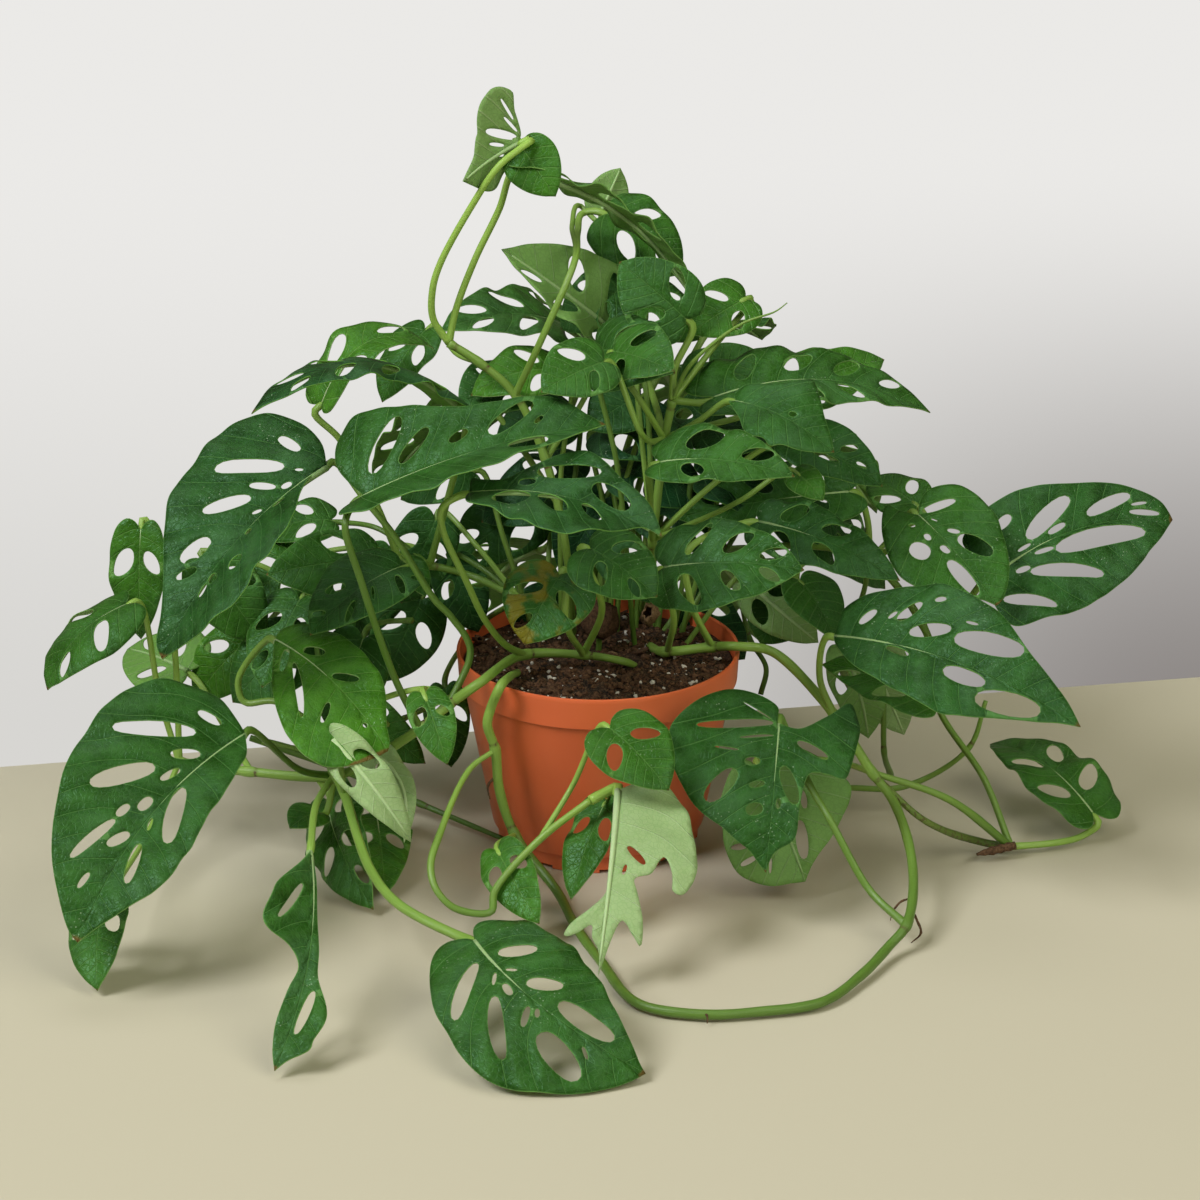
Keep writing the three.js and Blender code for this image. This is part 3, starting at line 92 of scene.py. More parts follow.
# name, stalk end, drip tip, widths left and right of the rib, the way the upper face looks, arch and sway of
# the rib (shares of its length), fold up and curl of each half (degrees), twist (degrees), lobes' reach back
LEAVES = [
    ("leaf_01", (-141, -34, 224), (-222, -110, 146), (32, 47), (-0.2, -0.75, 0.6), 0.07, 0.05, (42, 4),
     (-10, -14), 0),
    ("leaf_02", (-244, 10, 172), (-245, 0, 113), (15, 17), (-0.2, -0.8, 0.5), 0.05, 0, (12, 12), (-20, -20), 0),
    ("leaf_03", (-250, -20, 141), (-291, -40, 100), (26, 34), (-0.5, -0.3, 0.8), 0.14, 0, (10, 10),
     (-60, -60), 0),
    ("sprout_01", (-225, 40, 78), (-261, 70, 79), (24, 26), (0.1, -0.5, 0.8), 0.05, 0, (12, 12), (-20, -20), 0),
    ("leaf_04", (-181, -110, 105), (-258, -215, 37), (34, 48), (0.1, -0.75, 0.6), 0.05, 0.07, (30, 2),
     (-10, -10), 0),
    ("sprout_02", (-251, -160, 33), (-251, -202, 4), (16, 17), (-0.3, -0.8, 0.4), 0.08, 0, (12, 12),
     (-20, -20), 0),
    ("leaf_05", (-143, -190, 76), (-156, -290, 5), (23, 23), (0.1, -0.95, 0.3), 0.03, -0.06, (15, 15),
     (0, 0), -40),
    ("leaf_06", (-145, -36, 35), (-117, -110, 5), (22, 20), (-0.4, -0.8, 0.3), 0.08, 0, (12, 12),
     (-20, -20), 0),
    ("sprout_03", (-122, -8, 22), (-112, -92, 4), (18, 20), (0.2, -0.9, 0.3), 0.05, 0, (12, 12), (-20, -20), 0),
    ("sprout_04", (-148, -66, 41), (-162, -80, 38), (12, 12), (-0.3, -0.6, 0.8), 0.1, 0, (12, 12),
     (-20, -20), 0),
    ("leaf_07", (-169, -50, 133), (-108, -110, 95), (24, 36), (0.2, -0.6, 0.8), 0.07, -0.03, (12, 12),
     (-20, -20), 0),
    ("leaf_08", (-161, 20, 128), (-180, -10, 89), (20, 22), (-0.4, -0.7, 0.6), 0.05, 0, (12, 12),
     (-20, -20), 0),
    ("leaf_09", (-122, 20, 151), (-177, 0, 150), (24, 20), (-0.1, -0.7, 0.7), 0.06, 0, (12, 12), (-20, -20), 0),
    ("leaf_10", (-105, -20, 162), (-150, -60, 139), (24, 24), (-0.2, -0.5, 0.8), 0.1, 0, (12, 12),
     (-20, -20), 0),
    ("sprout_05", (-103, -5, 160), (-91, -25, 147), (9, 9), (0.2, -0.6, 0.8), 0.1, 0, (12, 12), (-20, -20), 0),
    ("leaf_11", (-74, 0, 247), (-177, -60, 261), (26, 26), (-0.1, 0.06, 1), 0.2, 0, (5, 5), (-30, -30), 0),
    ("leaf_12", (-147, 30, 237), (-88, 60, 257), (19, 15), (-0.45, -0.5, 0.72), 0.3, -0.06, (12, 12),
     (-20, -20), 0, 0.4),
    ("leaf_13", (-94, 86, 259), (-117, 68, 224), (18, 16), (-0.4, -0.5, 0.7), 0.08, 0, (12, 12), (-20, -20), 0),
    ("leaf_14", (-7, 110, 247), (-85, 62, 266), (30, 30), (0, -0.3, 1), 0.14, 0, (12, 12), (-20, -20), 0),
    ("leaf_15", (-42, 60, 234), (-75, 40, 233), (16, 24), (-0.1, -0.6, 0.8), 0.05, 0, (12, 12), (-20, -20), 0),
    ("leaf_16", (-119, -88, 227), (4, -74, 260), (48, 28), (0, -0.6, 0.8), 0.08, 0, (4, 42), (-14, -10), 0),
    ("leaf_17", (-65, -95, 231), (32, -130, 220), (29, 26), (0, -0.6, 0.8), 0.07, -0.055, (4, 38),
     (-14, -10), 0),
    ("leaf_18", (-41, 29, 380), (-70, 10, 364), (33, 18), (0.3, 0.8, 0.4), 0.06, 0, (10, 4), (0, 0), 0),
    ("leaf_19", (-38, 36, 362), (54, 52, 281), (24, 20), (0.47, 0.42, 0.68), 0.12, 0, (12, 12), (-20, -20), 0),
    ("sprout_06", (1, 114, 317), (12, 126, 339), (14, 12), (0.3, 0.6, 0.7), 0, 0, (12, 12), (-20, -20), 0),
    ("leaf_20", (5, 92, 323), (45, 84, 291), (22, 30), (0.1, -0.5, 0.8), 0.12, 0, (12, 12), (-20, -20), 0, 0.5),
    ("leaf_21", (13, 60, 262), (-51, 42, 318), (24, 30), (-0.3, -0.7, 0.6), 0.07, 0, (55, 4), (-10, -10), 0),
    ("sprout_07", (3, 90, 276), (-11, 82, 263), (12, 12), (0, -0.6, 0.7), 0.05, 0, (12, 12), (-20, -20), 0),
    ("leaf_22", (46, 12, 289), (11, 22, 317), (24, 20), (-0.2, -0.7, 0.6), 0.08, 0, (12, 12), (-20, -20), 0),
    ("sprout_08", (78, 40, 291), (48, 20, 278), (18, 18), (0.2, -0.6, 0.8), 0.06, 0, (12, 12), (-20, -20), 0),
    ("leaf_23", (8, -12, 279), (39, -42, 278), (21, 18), (0, -0.7, 0.7), 0.06, 0, (12, 12), (-20, -20), 0),
    ("leaf_24", (3, -48, 285), (-29, -70, 276), (18, 20), (-0.1, -0.7, 0.7), 0.06, 0, (12, 12), (-20, -20), 0),
    ("leaf_25", (61, 0, 250), (177, 30, 231), (26, 22), (0, -0.4, 1), 0.1, -0.05, (12, 12), (-20, -20), 0),
    ("leaf_26", (95, 50, 231), (156, 90, 241), (20, 20), (0.1, -0.5, 0.8), 0.08, 0, (12, 12), (-20, -20), 0),
    ("leaf_27", (71, -30, 258), (121, -60, 240), (20, 20), (0.2, -0.6, 0.7), 0.12, 0, (12, 12), (-20, -20), 0),
    ("leaf_28", (101, 0, 226), (149, -20, 207), (20, 16), (0.2, -0.6, 0.7), 0.1, 0, (12, 12), (-20, -20), 0),
    ("leaf_29", (32, -60, 235), (100, -80, 234), (22, 16), (0, -0.5, 0.8), 0.1, 0, (12, 12), (-20, -20), 0),
    ("sprout_09", (102, -45, 224), (116, -58, 213), (9, 10), (0, -0.6, 0.8), 0.1, 0, (12, 12), (-20, -20), 0),
    ("leaf_30", (135, 42, 182), (41, 30, 171), (20, 22), (0, -0.75, 0.7), 0.05, 0, (12, 12), (-20, -20), 0),
    ("leaf_31", (34, -70, 181), (105, -95, 189), (26, 30), (0, -0.65, 0.8), 0.08, 0, (12, 12), (-20, -20), 0),
    ("leaf_32", (85, -10, 184), (158, -40, 162), (18, 20), (0.1, -0.6, 0.7), 0.1, 0, (12, 12),
     (-20, -20), 0, 0.5),
    ("leaf_33", (104, 30, 130), (88, 20, 102), (20, 20), (0, -0.7, 0.6), 0.05, 0, (12, 12), (-20, -20), 0),
    ("sprout_10", (108, 10, 143), (126, -10, 117), (18, 18), (0.4, -0.5, 0.8), 0.08, 0, (12, 12),
     (-20, -20), 0),
    ("leaf_34", (-20, -60, 173), (-38, -85, 144), (26, 24), (-0.1, -0.6, 0.8), 0.08, 0, (12, 12),
     (-20, -20), 0),
    ("leaf_35", (-4, -85, 197), (30, -105, 178), (20, 24), (0.1, -0.6, 0.8), 0.08, 0, (12, 12), (-20, -20), 0),
    ("leaf_36", (170, 0, 184), (209, -40, 148), (26, 36), (0.2, -0.75, 0.6), 0.07, 0, (12, 12), (-20, -20), 0),
    ("sprout_11", (173, 50, 171), (149, 80, 176), (18, 16), (0, -0.4, 0.9), 0.05, 0, (12, 12), (-20, -20), 0),
    ("leaf_37", (211, -10, 154), (309, 30, 170), (37, 42), (0.1, -0.7, 0.7), 0.05, -0.085, (8, 8),
     (-10, -10), 0),
    ("leaf_38", (123, -60, 139), (245, -130, 117), (40, 36), (0.1, -0.7, 0.75), 0.06, -0.04, (8, 10),
     (-10, -12), 0),
    ("leaf_39", (268, -10, 16), (218, 60, 26), (24, 24), (0.3, -0.5, 0.85), 0.12, 0, (12, 12), (-20, -20), 0),
    ("leaf_40", (94, -85, 100), (86, -135, 38), (40, 52), (0.05, -0.8, 0.6), 0.06, 0, (10, 5),
     (-20, -12), 0, 1.6),
    ("leaf_41", (86, -50, 60), (109, -88, 11), (36, 32), (0.1, -0.9, 0.4), 0.05, 0, (12, 12), (-20, -20), 0),
    ("leaf_42", (6, -110, 108), (36, -135, 84), (22, 22), (0.1, -0.6, 0.8), 0.08, 0, (12, 12), (-20, -20), 0),
    ("sprout_12", (4, -105, 65), (-14, -140, 25), (14, 14), (-0.5, -0.7, 0.4), 0.05, 0, (12, 12),
     (-20, -20), 0),
    ("leaf_43", (10, -120, 77), (0, -205, 14), (36, 18), (0.1, -0.7, 0.7), 0.1, 0, (12, 12), (-20, -20), 0),
    ("leaf_44", (-61, -222, 42), (23, -293, 5), (27, 50), (0, -0.5, 0.9), 0.1, 0.1, (4, 2), (-12, -12), 0),
    ("sprout_13", (-52, -110, 39), (-30, -150, 16), (14, 14), (-0.3, -0.7, 0.6), 0.06, 0, (12, 12),
     (-20, -20), 0),
    ("sprout_14", (-145, -60, 79), (-100, -120, 48), (9, 12), (0.2, -0.6, 0.8), 0.08, -0.22, (12, 12),
     (-20, -20), 0),
    ("sprout_15", (-89, -100, 122), (-77, -125, 94), (12, 12), (0, -0.7, 0.7), 0.08, 0, (12, 12),
     (-20, -20), 0),
    ("leaf_45", (177, -30, 90), (120, -4, 100), (22, 20), (0.1, -0.3, 0.9), 0.08, 0, (12, 12), (-20, -20), 0),
    ("sprout_16", (134, 22, 98), (147, 12, 50), (18, 16), (0.3, -0.8, 0.5), 0.08, 0, (12, 12), (-20, -20), 0),
    ("leaf_46", (-62, 88, 215), (-125, 150, 140), (30, 28), (-0.3, 0.8, 0.6), 0.08, 0, (12, 12), (-20, -20), 0),
    ("leaf_47", (34, 112, 228), (48, 196, 168), (34, 32), (0, 0.6, 0.8), 0.08, 0, (12, 12), (-20, -20), 0),
    ("leaf_48", (92, 95, 205), (158, 150, 130), (29, 30), (0.4, 0.7, 0.6), 0.08, 0, (12, 12), (-20, -20), 0),
    ("leaf_49", (-34, 122, 120), (-80, 192, 42), (30, 32), (-0.2, 0.8, 0.5), 0.08, 0, (12, 12), (-20, -20), 0),
    ("leaf_50", (62, 120, 118), (96, 190, 34), (33, 30), (0.2, 0.8, 0.5), 0.08, 0, (12, 12), (-20, -20), 0),
    ("sprout_17", (60, 100, 255), (92, 160, 230), (24, 26), (0, 0.3, 0.95), 0.08, 0, (12, 12), (-20, -20), 0),
]

# Leaves with an edge or holes of their own, in mm from the stalk's end: v across the rib, y along it. Each
# edge runs from the stalk round to the tip; a hole is v and y at one end, at the other, and its width.
OWN = {
    "leaf_01": {
        "right": [(13, -7), (30, -8.5), (44.5, -1.5), (54.5, 10.5), (56, 24), (51, 44), (47, 61.5),
         (37.5, 77), (22, 97.5), (11.5, 115.5), (6.5, 129.5)],
        "left": [(1, 11), (17, 30.5), (31, 48), (33, 62.5), (34.5, 77), (37, 88.5), (34, 100), (26, 114.5),
         (12, 128)],
        "holes": [(30.5, 6, 16, 4.5, 6), (39, 40, 13, 16.5, 9.5), (25.5, 61.5, 11, 41, 8),
         (17, 88.5, 12, 71, 9), (-12.5, 79.5, -19, 74.5, 10.5), (-5, 91.5, -7, 86, 8.5)],
        "small": [(8, 14, 5, 11, 2), (17, 36.5, 6.5, 28, 4.5), (4, 26.5, 3, 20.5, 3.5), (4, 47.5, 2, 42.5, 2),
         (14, 97, 8, 87.5, 4.5), (-3.5, 38.5, -3.5, 30.5, 3.5), (-2, 58, -5.5, 56.5, 4.5),
         (-5.5, 100.5, -3, 92.5, 4.5)],
    },
    "leaf_04": {
        "right": [(20.5, -3.5), (30.5, -1), (40.5, 4.5), (50, 12), (56.5, 22.5), (58, 37), (54.5, 56),
         (50.5, 73.5), (40.5, 95.5), (30.5, 113.5), (19, 128.5), (7.5, 142)],
        "left": [(12.5, 10.5), (17, 19.5), (23, 36), (27, 57.5), (31, 80.5), (31, 96.5), (27, 110.5),
         (17.5, 124.5), (7, 138)],
        "holes": [(46, 46.5, 15, 20, 9.5), (34.5, 75.5, 15, 49, 10), (21.5, 111, 13, 83.5, 5.5),
         (24, 10.5, 11, 7, 5.5), (-19, 83, -3, 48.5, 9.5), (-11.5, 111.5, -5.5, 88.5, 6.5)],
        "small": [(14.5, 38.5, 4.5, 27, 6), (8.5, 52.5, 5.5, 41, 4), (13.5, 81.5, 12, 73, 4.5),
         (6.5, 72.5, 5.5, 63, 5.5), (9, 97, 3, 85.5, 5.5), (11, 122.5, 9.5, 113.5, 3), (-5, 80, -2, 72.5, 2.5)],
    },
    "leaf_05": {
        "right": [(8, 9.5), (22.5, 26.5), (27, 43), (24, 52), (11.5, 58), (4.5, 67.5), (7, 81.5), (8, 99.5),
         (5, 113.5)],
        "left": [(1.5, 15), (2, 37.5), (4.5, 57), (6.5, 72), (14.5, 87), (16.5, 95), (14, 104.5), (14, 110.5),
         (5, 117)],
        "holes": [(19, 44.5, 7, 22, 4), (-3.5, 103.5, -6, 79.5, 5.5)],
    },
    "leaf_07": {
        "right": [(4.5, 3.5), (15.5, 14.5), (24, 23.5), (30, 31.5), (36, 43), (39.5, 53.5), (41, 64),
         (41, 73.5), (38.5, 81), (33.5, 87.5), (22, 93), (9.5, 94.5)],
        "left": [(4, -1.5), (8.5, -1), (14, 2), (19, 7), (22.5, 15), (23.5, 24), (24.5, 34), (24.5, 43.5),
         (22, 54.5), (18, 65), (12, 74), (7, 81.5), (3.5, 90)],
        "holes": [(17, 23, 2.5, 11.5, 4), (7.5, 22, 28.5, 55, 4), (22, 64, 11, 55, 3.5),
         (-3, 18, -9, 28, 5.5), (-2, 41.5, -11, 52.5, 5)],
        "small": [(4, 75.5, 2, 77, 3)],
    },
    "leaf_10": {
        "holes": [(10.5, 42, 6.5, 32, 6), (7, 55.5, 2, 50.5, 3), (-13, 49, -6, 36.5, 3.5),
         (-6.5, 7.5, -21.5, 16.5, 4), (-13.5, 4, -15.5, -0.5, 5.5)],
        "small": [(-13.5, 30, -5, 23, 1.5)],
    },
    "leaf_16": {
        "left": [(9.5, -5), (22.5, -9.5), (35, -8), (43, -2), (48, 7.5), (47, 18.5), (40.5, 32.5), (34, 47.5),
         (27.5, 62), (26, 75.5), (25.5, 89.5), (22.5, 102.5), (16, 113), (7, 121)],
        "holes": [(8.5, 77, 9.5, 97, 14), (-9.5, 7, -36, 28, 11), (-8, 22.5, -22, 41, 7.5),
         (-7.5, 70, -20.5, 95.5, 10)],
        "small": [(-9.5, 49.5, -13, 60, 5), (-7, 93.5, -10.5, 98.5, 2.5)],
    },
    "leaf_17": {
        "right": [(11.5, 2), (20, 9), (25, 19), (31, 28.5), (34.5, 39), (38.5, 49.5), (38.5, 60), (34.5, 70),
         (25.5, 80), (14.5, 87.5), (1, 94.5)],
        "left": [(8.5, 0), (7, 6), (6.5, 17.5), (12.5, 25.5), (19, 33.5), (26.5, 40.5), (30.5, 47.5),
         (30, 55.5), (21.5, 69.5), (17.5, 79.5), (12.5, 90), (6.5, 97.5)],
        "holes": [(6, 18, 16, 34, 18.5), (3, 40, 19.5, 56.5, 12), (-11.5, 32.5, -19.5, 62.5, 9),
         (-10.5, 61.5, -5, 83, 10.5)],
        "small": [(3, 62, 16.5, 75, 7), (-4.5, 25, -6, 33.5, 4)],
    },
    "leaf_18": {
        "right": [(2.5, -1), (5.5, 2.5), (9.5, 8), (14, 14), (19, 20), (16, 26.5), (8, 32.5)],
        "left": [(4, -2.5), (11.5, -3.5), (17.5, -4), (22.5, -5.5), (26.5, -6.5), (30, -4.5), (33, -1),
         (34, 3), (32.5, 6.5), (30, 10.5), (26, 14), (21.5, 16.5), (16.5, 18.5), (14.5, 20.5), (10, 23.5),
         (7, 25.5), (4.5, 29), (2, 34)],
        "holes": [(-15, 14, -2.5, 0.5, 4.5), (-26.5, 0.5, -12.5, -1.5, 1.5), (-7.5, 15, -2, 8, 2)],
        "small": [(2, 12.5, 3.5, 9, 1.5), (-16.5, 2.5, -5.5, -1, 1.5)],
    },
    "leaf_27": {
        "right": [(1, -3.5), (6, 2.5), (12, 10.5), (18.5, 17.5), (19.5, 23.5), (18, 29), (20.5, 34.5),
         (17, 39), (14.5, 45.5), (11, 51), (6, 56.5)],
        "left": [(5, -3), (10.5, -0.5), (13.5, 4.5), (16, 12), (20, 18.5), (25.5, 23), (30, 27.5), (25.5, 34),
         (20, 40), (13.5, 45.5), (9, 50.5), (4.5, 56)],
        "holes": [(-2, 15, -15, 11.5, 5), (-3, 31, -4, 35, 3)],
    },
    "leaf_28": {
        "holes": [(4, 16, 3, 30, 3.5), (-4.5, 27, -11, 34, 4.5), (-3, 37.5, -3, 43.5, 2.5)],
    },
    "leaf_36": {
        "right": [(3, -3), (7, -9), (9, -15.5), (15, -11.5), (23, -2.5), (29, 7.5), (33, 17), (34, 26),
         (32, 34.5), (27, 42), (16.5, 51), (5.5, 60)],
        "left": [(4.5, -5), (10.5, -8.5), (16.5, -9), (23, -6.5), (29.5, -1.5), (32, 6), (33.5, 15),
         (31.5, 25.5), (27.5, 36.5), (23, 46), (18, 53.5), (11, 61), (4.5, 65.5)],
        "holes": [(19, 15.5, 13, 25, 11), (7, 33, 6, 57, 9), (-2.5, 0, -20.5, 5.5, 5.5),
         (-6.5, 24.5, -15, 43, 9.5), (-5, 17.5, -9, 23, 3)],
        "small": [(4.5, 23.5, 3.5, 29.5, 4.5), (8.5, 14.5, 5, 16, 5), (10, 4, 7, 5.5, 2.5),
         (-3, 6.5, -4.5, 10, 1)],
    },
    "leaf_37": {
        "right": [(7, -8.5), (16.5, -12.5), (28.5, -12), (35, 0), (42.5, 25.5), (40.5, 48.5), (35, 68),
         (26.5, 82), (21, 88), (12.5, 97.5)],
        "left": [(23, -2.5), (30, 8), (32, 19), (32.5, 32), (30.5, 42), (27.5, 50), (24.5, 62.5), (22, 75.5),
         (17, 91), (11, 101), (5, 105)],
        "holes": [(7, 34, 9, 89, 12), (10.5, 14.5, 29.5, 53.5, 8.5), (13.5, -6.5, 34, 14.5, 7),
         (-6, 24.5, -18, 54, 9.5), (-6, 59.5, -14, 86, 7)],
        "small": [(6, 8.5, 8, 16.5, 3.5), (3, 23, 5, 34, 3), (-3.5, 35.5, -5, 46.5, 3.5),
         (-4, 83, -3, 100, 3.5), (-8, 85, -9.5, 94, 2), (-3, 16.5, -3, 24.5, 2), (-19, 14.5, -22, 24, 5.5)],
    },
    "leaf_38": {
        "right": [(7.5, 4.5), (18.5, 19), (25.5, 38), (29.5, 56.5), (32, 74.5), (29, 89.5), (19, 110.5),
         (12.5, 123), (5.5, 133)],
        "left": [(9.5, 0), (17, 0.5), (24.5, 6.5), (30.5, 17), (37.5, 33), (41, 49.5), (38.5, 64.5),
         (32, 82.5), (21.5, 99), (13, 117.5), (7, 130.5)],
        "holes": [(7, 65.5, 6.5, 89.5, 10), (16, 89, 6, 122, 15), (-12.5, 62.5, -19.5, 98, 13),
         (-8.5, 39, -17, 59, 8), (-14, 30.5, -27, 39, 6)],
        "small": [(3, 31, 5, 44.5, 4.5), (-8, 12, -18, 17.5, 5), (-14, 25.5, -19, 28.5, 2.5),
         (-29.5, 45, -33, 49.5, 3), (-23.5, 64, -24, 70.5, 2)],
    },
    "leaf_40": {
        "right": [(1, 3), (1, -4), (1.5, -9.5), (10.5, -14.5), (21.5, -16.5), (31, -15), (42, -9), (52, 0),
         (56.5, 9.5), (56.5, 18.5), (54, 27.5), (47, 40.5), (40.5, 49.5), (32.5, 55.5), (25, 59.5),
         (17.5, 65), (9.5, 70), (4.5, 75.5)],
        "left": [(11, 2.5), (25, -6.5), (36.5, -16), (42, -3), (40, 15.5), (36.5, 27), (27.5, 26), (18, 26.5),
         (15, 35.5), (14, 46.5), (13, 61.5), (3.5, 69.5)],
        "holes": [(43, 6, 3, 0.5, 5), (34.5, 47, 20.5, 29, 10), (13.5, 50, 5, 47, 6.5),
         (19.5, -9.5, 4.5, -1.5, 1), (-3.5, 24, -12, 44, 7.5)],
        "small": [(20, 11, 2.5, 7.5, 1.5), (32.5, 17.5, 20, 18, 1.5), (16.5, 24, 8.5, 22.5, 4.5),
         (13, 36.5, 5, 34, 3.5), (-3, 41.5, -3, 47, 2.5), (-10, 10, -26.5, 17.5, 5)],
    },
    "leaf_41": {
        "right": [(7, -7), (14.5, -4), (21.5, 3.5), (27.5, 12), (31, 23.5), (33.5, 32), (34, 42), (32, 51),
         (26, 57.5), (18, 62.5), (8, 64.5)],
        "left": [(7, -6), (17.5, -5.5), (25.5, 0.5), (32.5, 9), (38, 18.5), (40.5, 26.5), (37.5, 34),
         (30, 41.5), (21.5, 49), (12, 55), (5, 60.5)],
        "holes": [(31, 36.5, 22.5, 38.5, 3.5), (29.5, 47, 20, 45.5, 3), (-8.5, 35, -3.5, 55, 6.5),
         (-15.5, 20.5, -13.5, 30.5, 3.5)],
        "small": [(16.5, 56, 13, 48, 1.5)],
    },
    "leaf_43": {
        "right": [(1, 14.5), (1, 36), (1, 51), (1, 64), (7.5, 73.5), (16.5, 82.5), (19.5, 90), (13.5, 88),
         (6.5, 82.5), (5.5, 89), (1, 95.5)],
        "left": [(5.5, -4), (15, -8.5), (24, -7.5), (32.5, 2.5), (38.5, 16.5), (43, 35), (43, 50.5), (38, 60),
         (32.5, 59), (31.5, 51.5), (27, 42), (24, 44.5), (20.5, 52), (12.5, 55.5), (15, 64), (19, 78),
         (19.5, 90), (14.5, 85), (7.5, 79.5)],
        "holes": [(-15.5, 27.5, -27, 41, 3.5), (-7.5, 37, -17, 47.5, 4)],
        "small": [(-6.5, 54, -7.5, 48, 2)],
    },
    "leaf_44": {
        "right": [(4.5, -4.5), (12.5, -7.5), (20, -4.5), (27.5, 4.5), (33.5, 15.5), (39, 26.5), (42, 38.5),
         (46, 49), (47.5, 58), (47, 66.5), (42.5, 76.5), (35.5, 86), (27.5, 95.5), (17.5, 104.5), (8, 111.5)],
        "left": [(2.5, -6.5), (6.5, -9), (12.5, -7), (21, -0.5), (28.5, 8.5), (34.5, 26), (36, 45),
         (31.5, 67), (24.5, 83.5), (16.5, 96), (9.5, 105), (3, 112)],
        "holes": [(35, 35.5, 6.5, 15, 7.5), (12, 38, 35, 64, 7.5), (11.5, 67.5, 21.5, 93, 13.5),
         (-5, 16, -21.5, 27, 8), (-4.5, 42, -15.5, 57.5, 8), (-7, 63, -7, 96.5, 10.5)],
        "small": [(8.5, 32.5, 3, 26.5, 2), (4, 35, 6, 43, 4), (15, 59.5, 4.5, 53.5, 3.5),
         (6.5, 61, 2.5, 57.5, 2.5), (5, 86.5, 9.5, 91.5, 2), (-2, 28, -6, 32.5, 2)],
    },
}

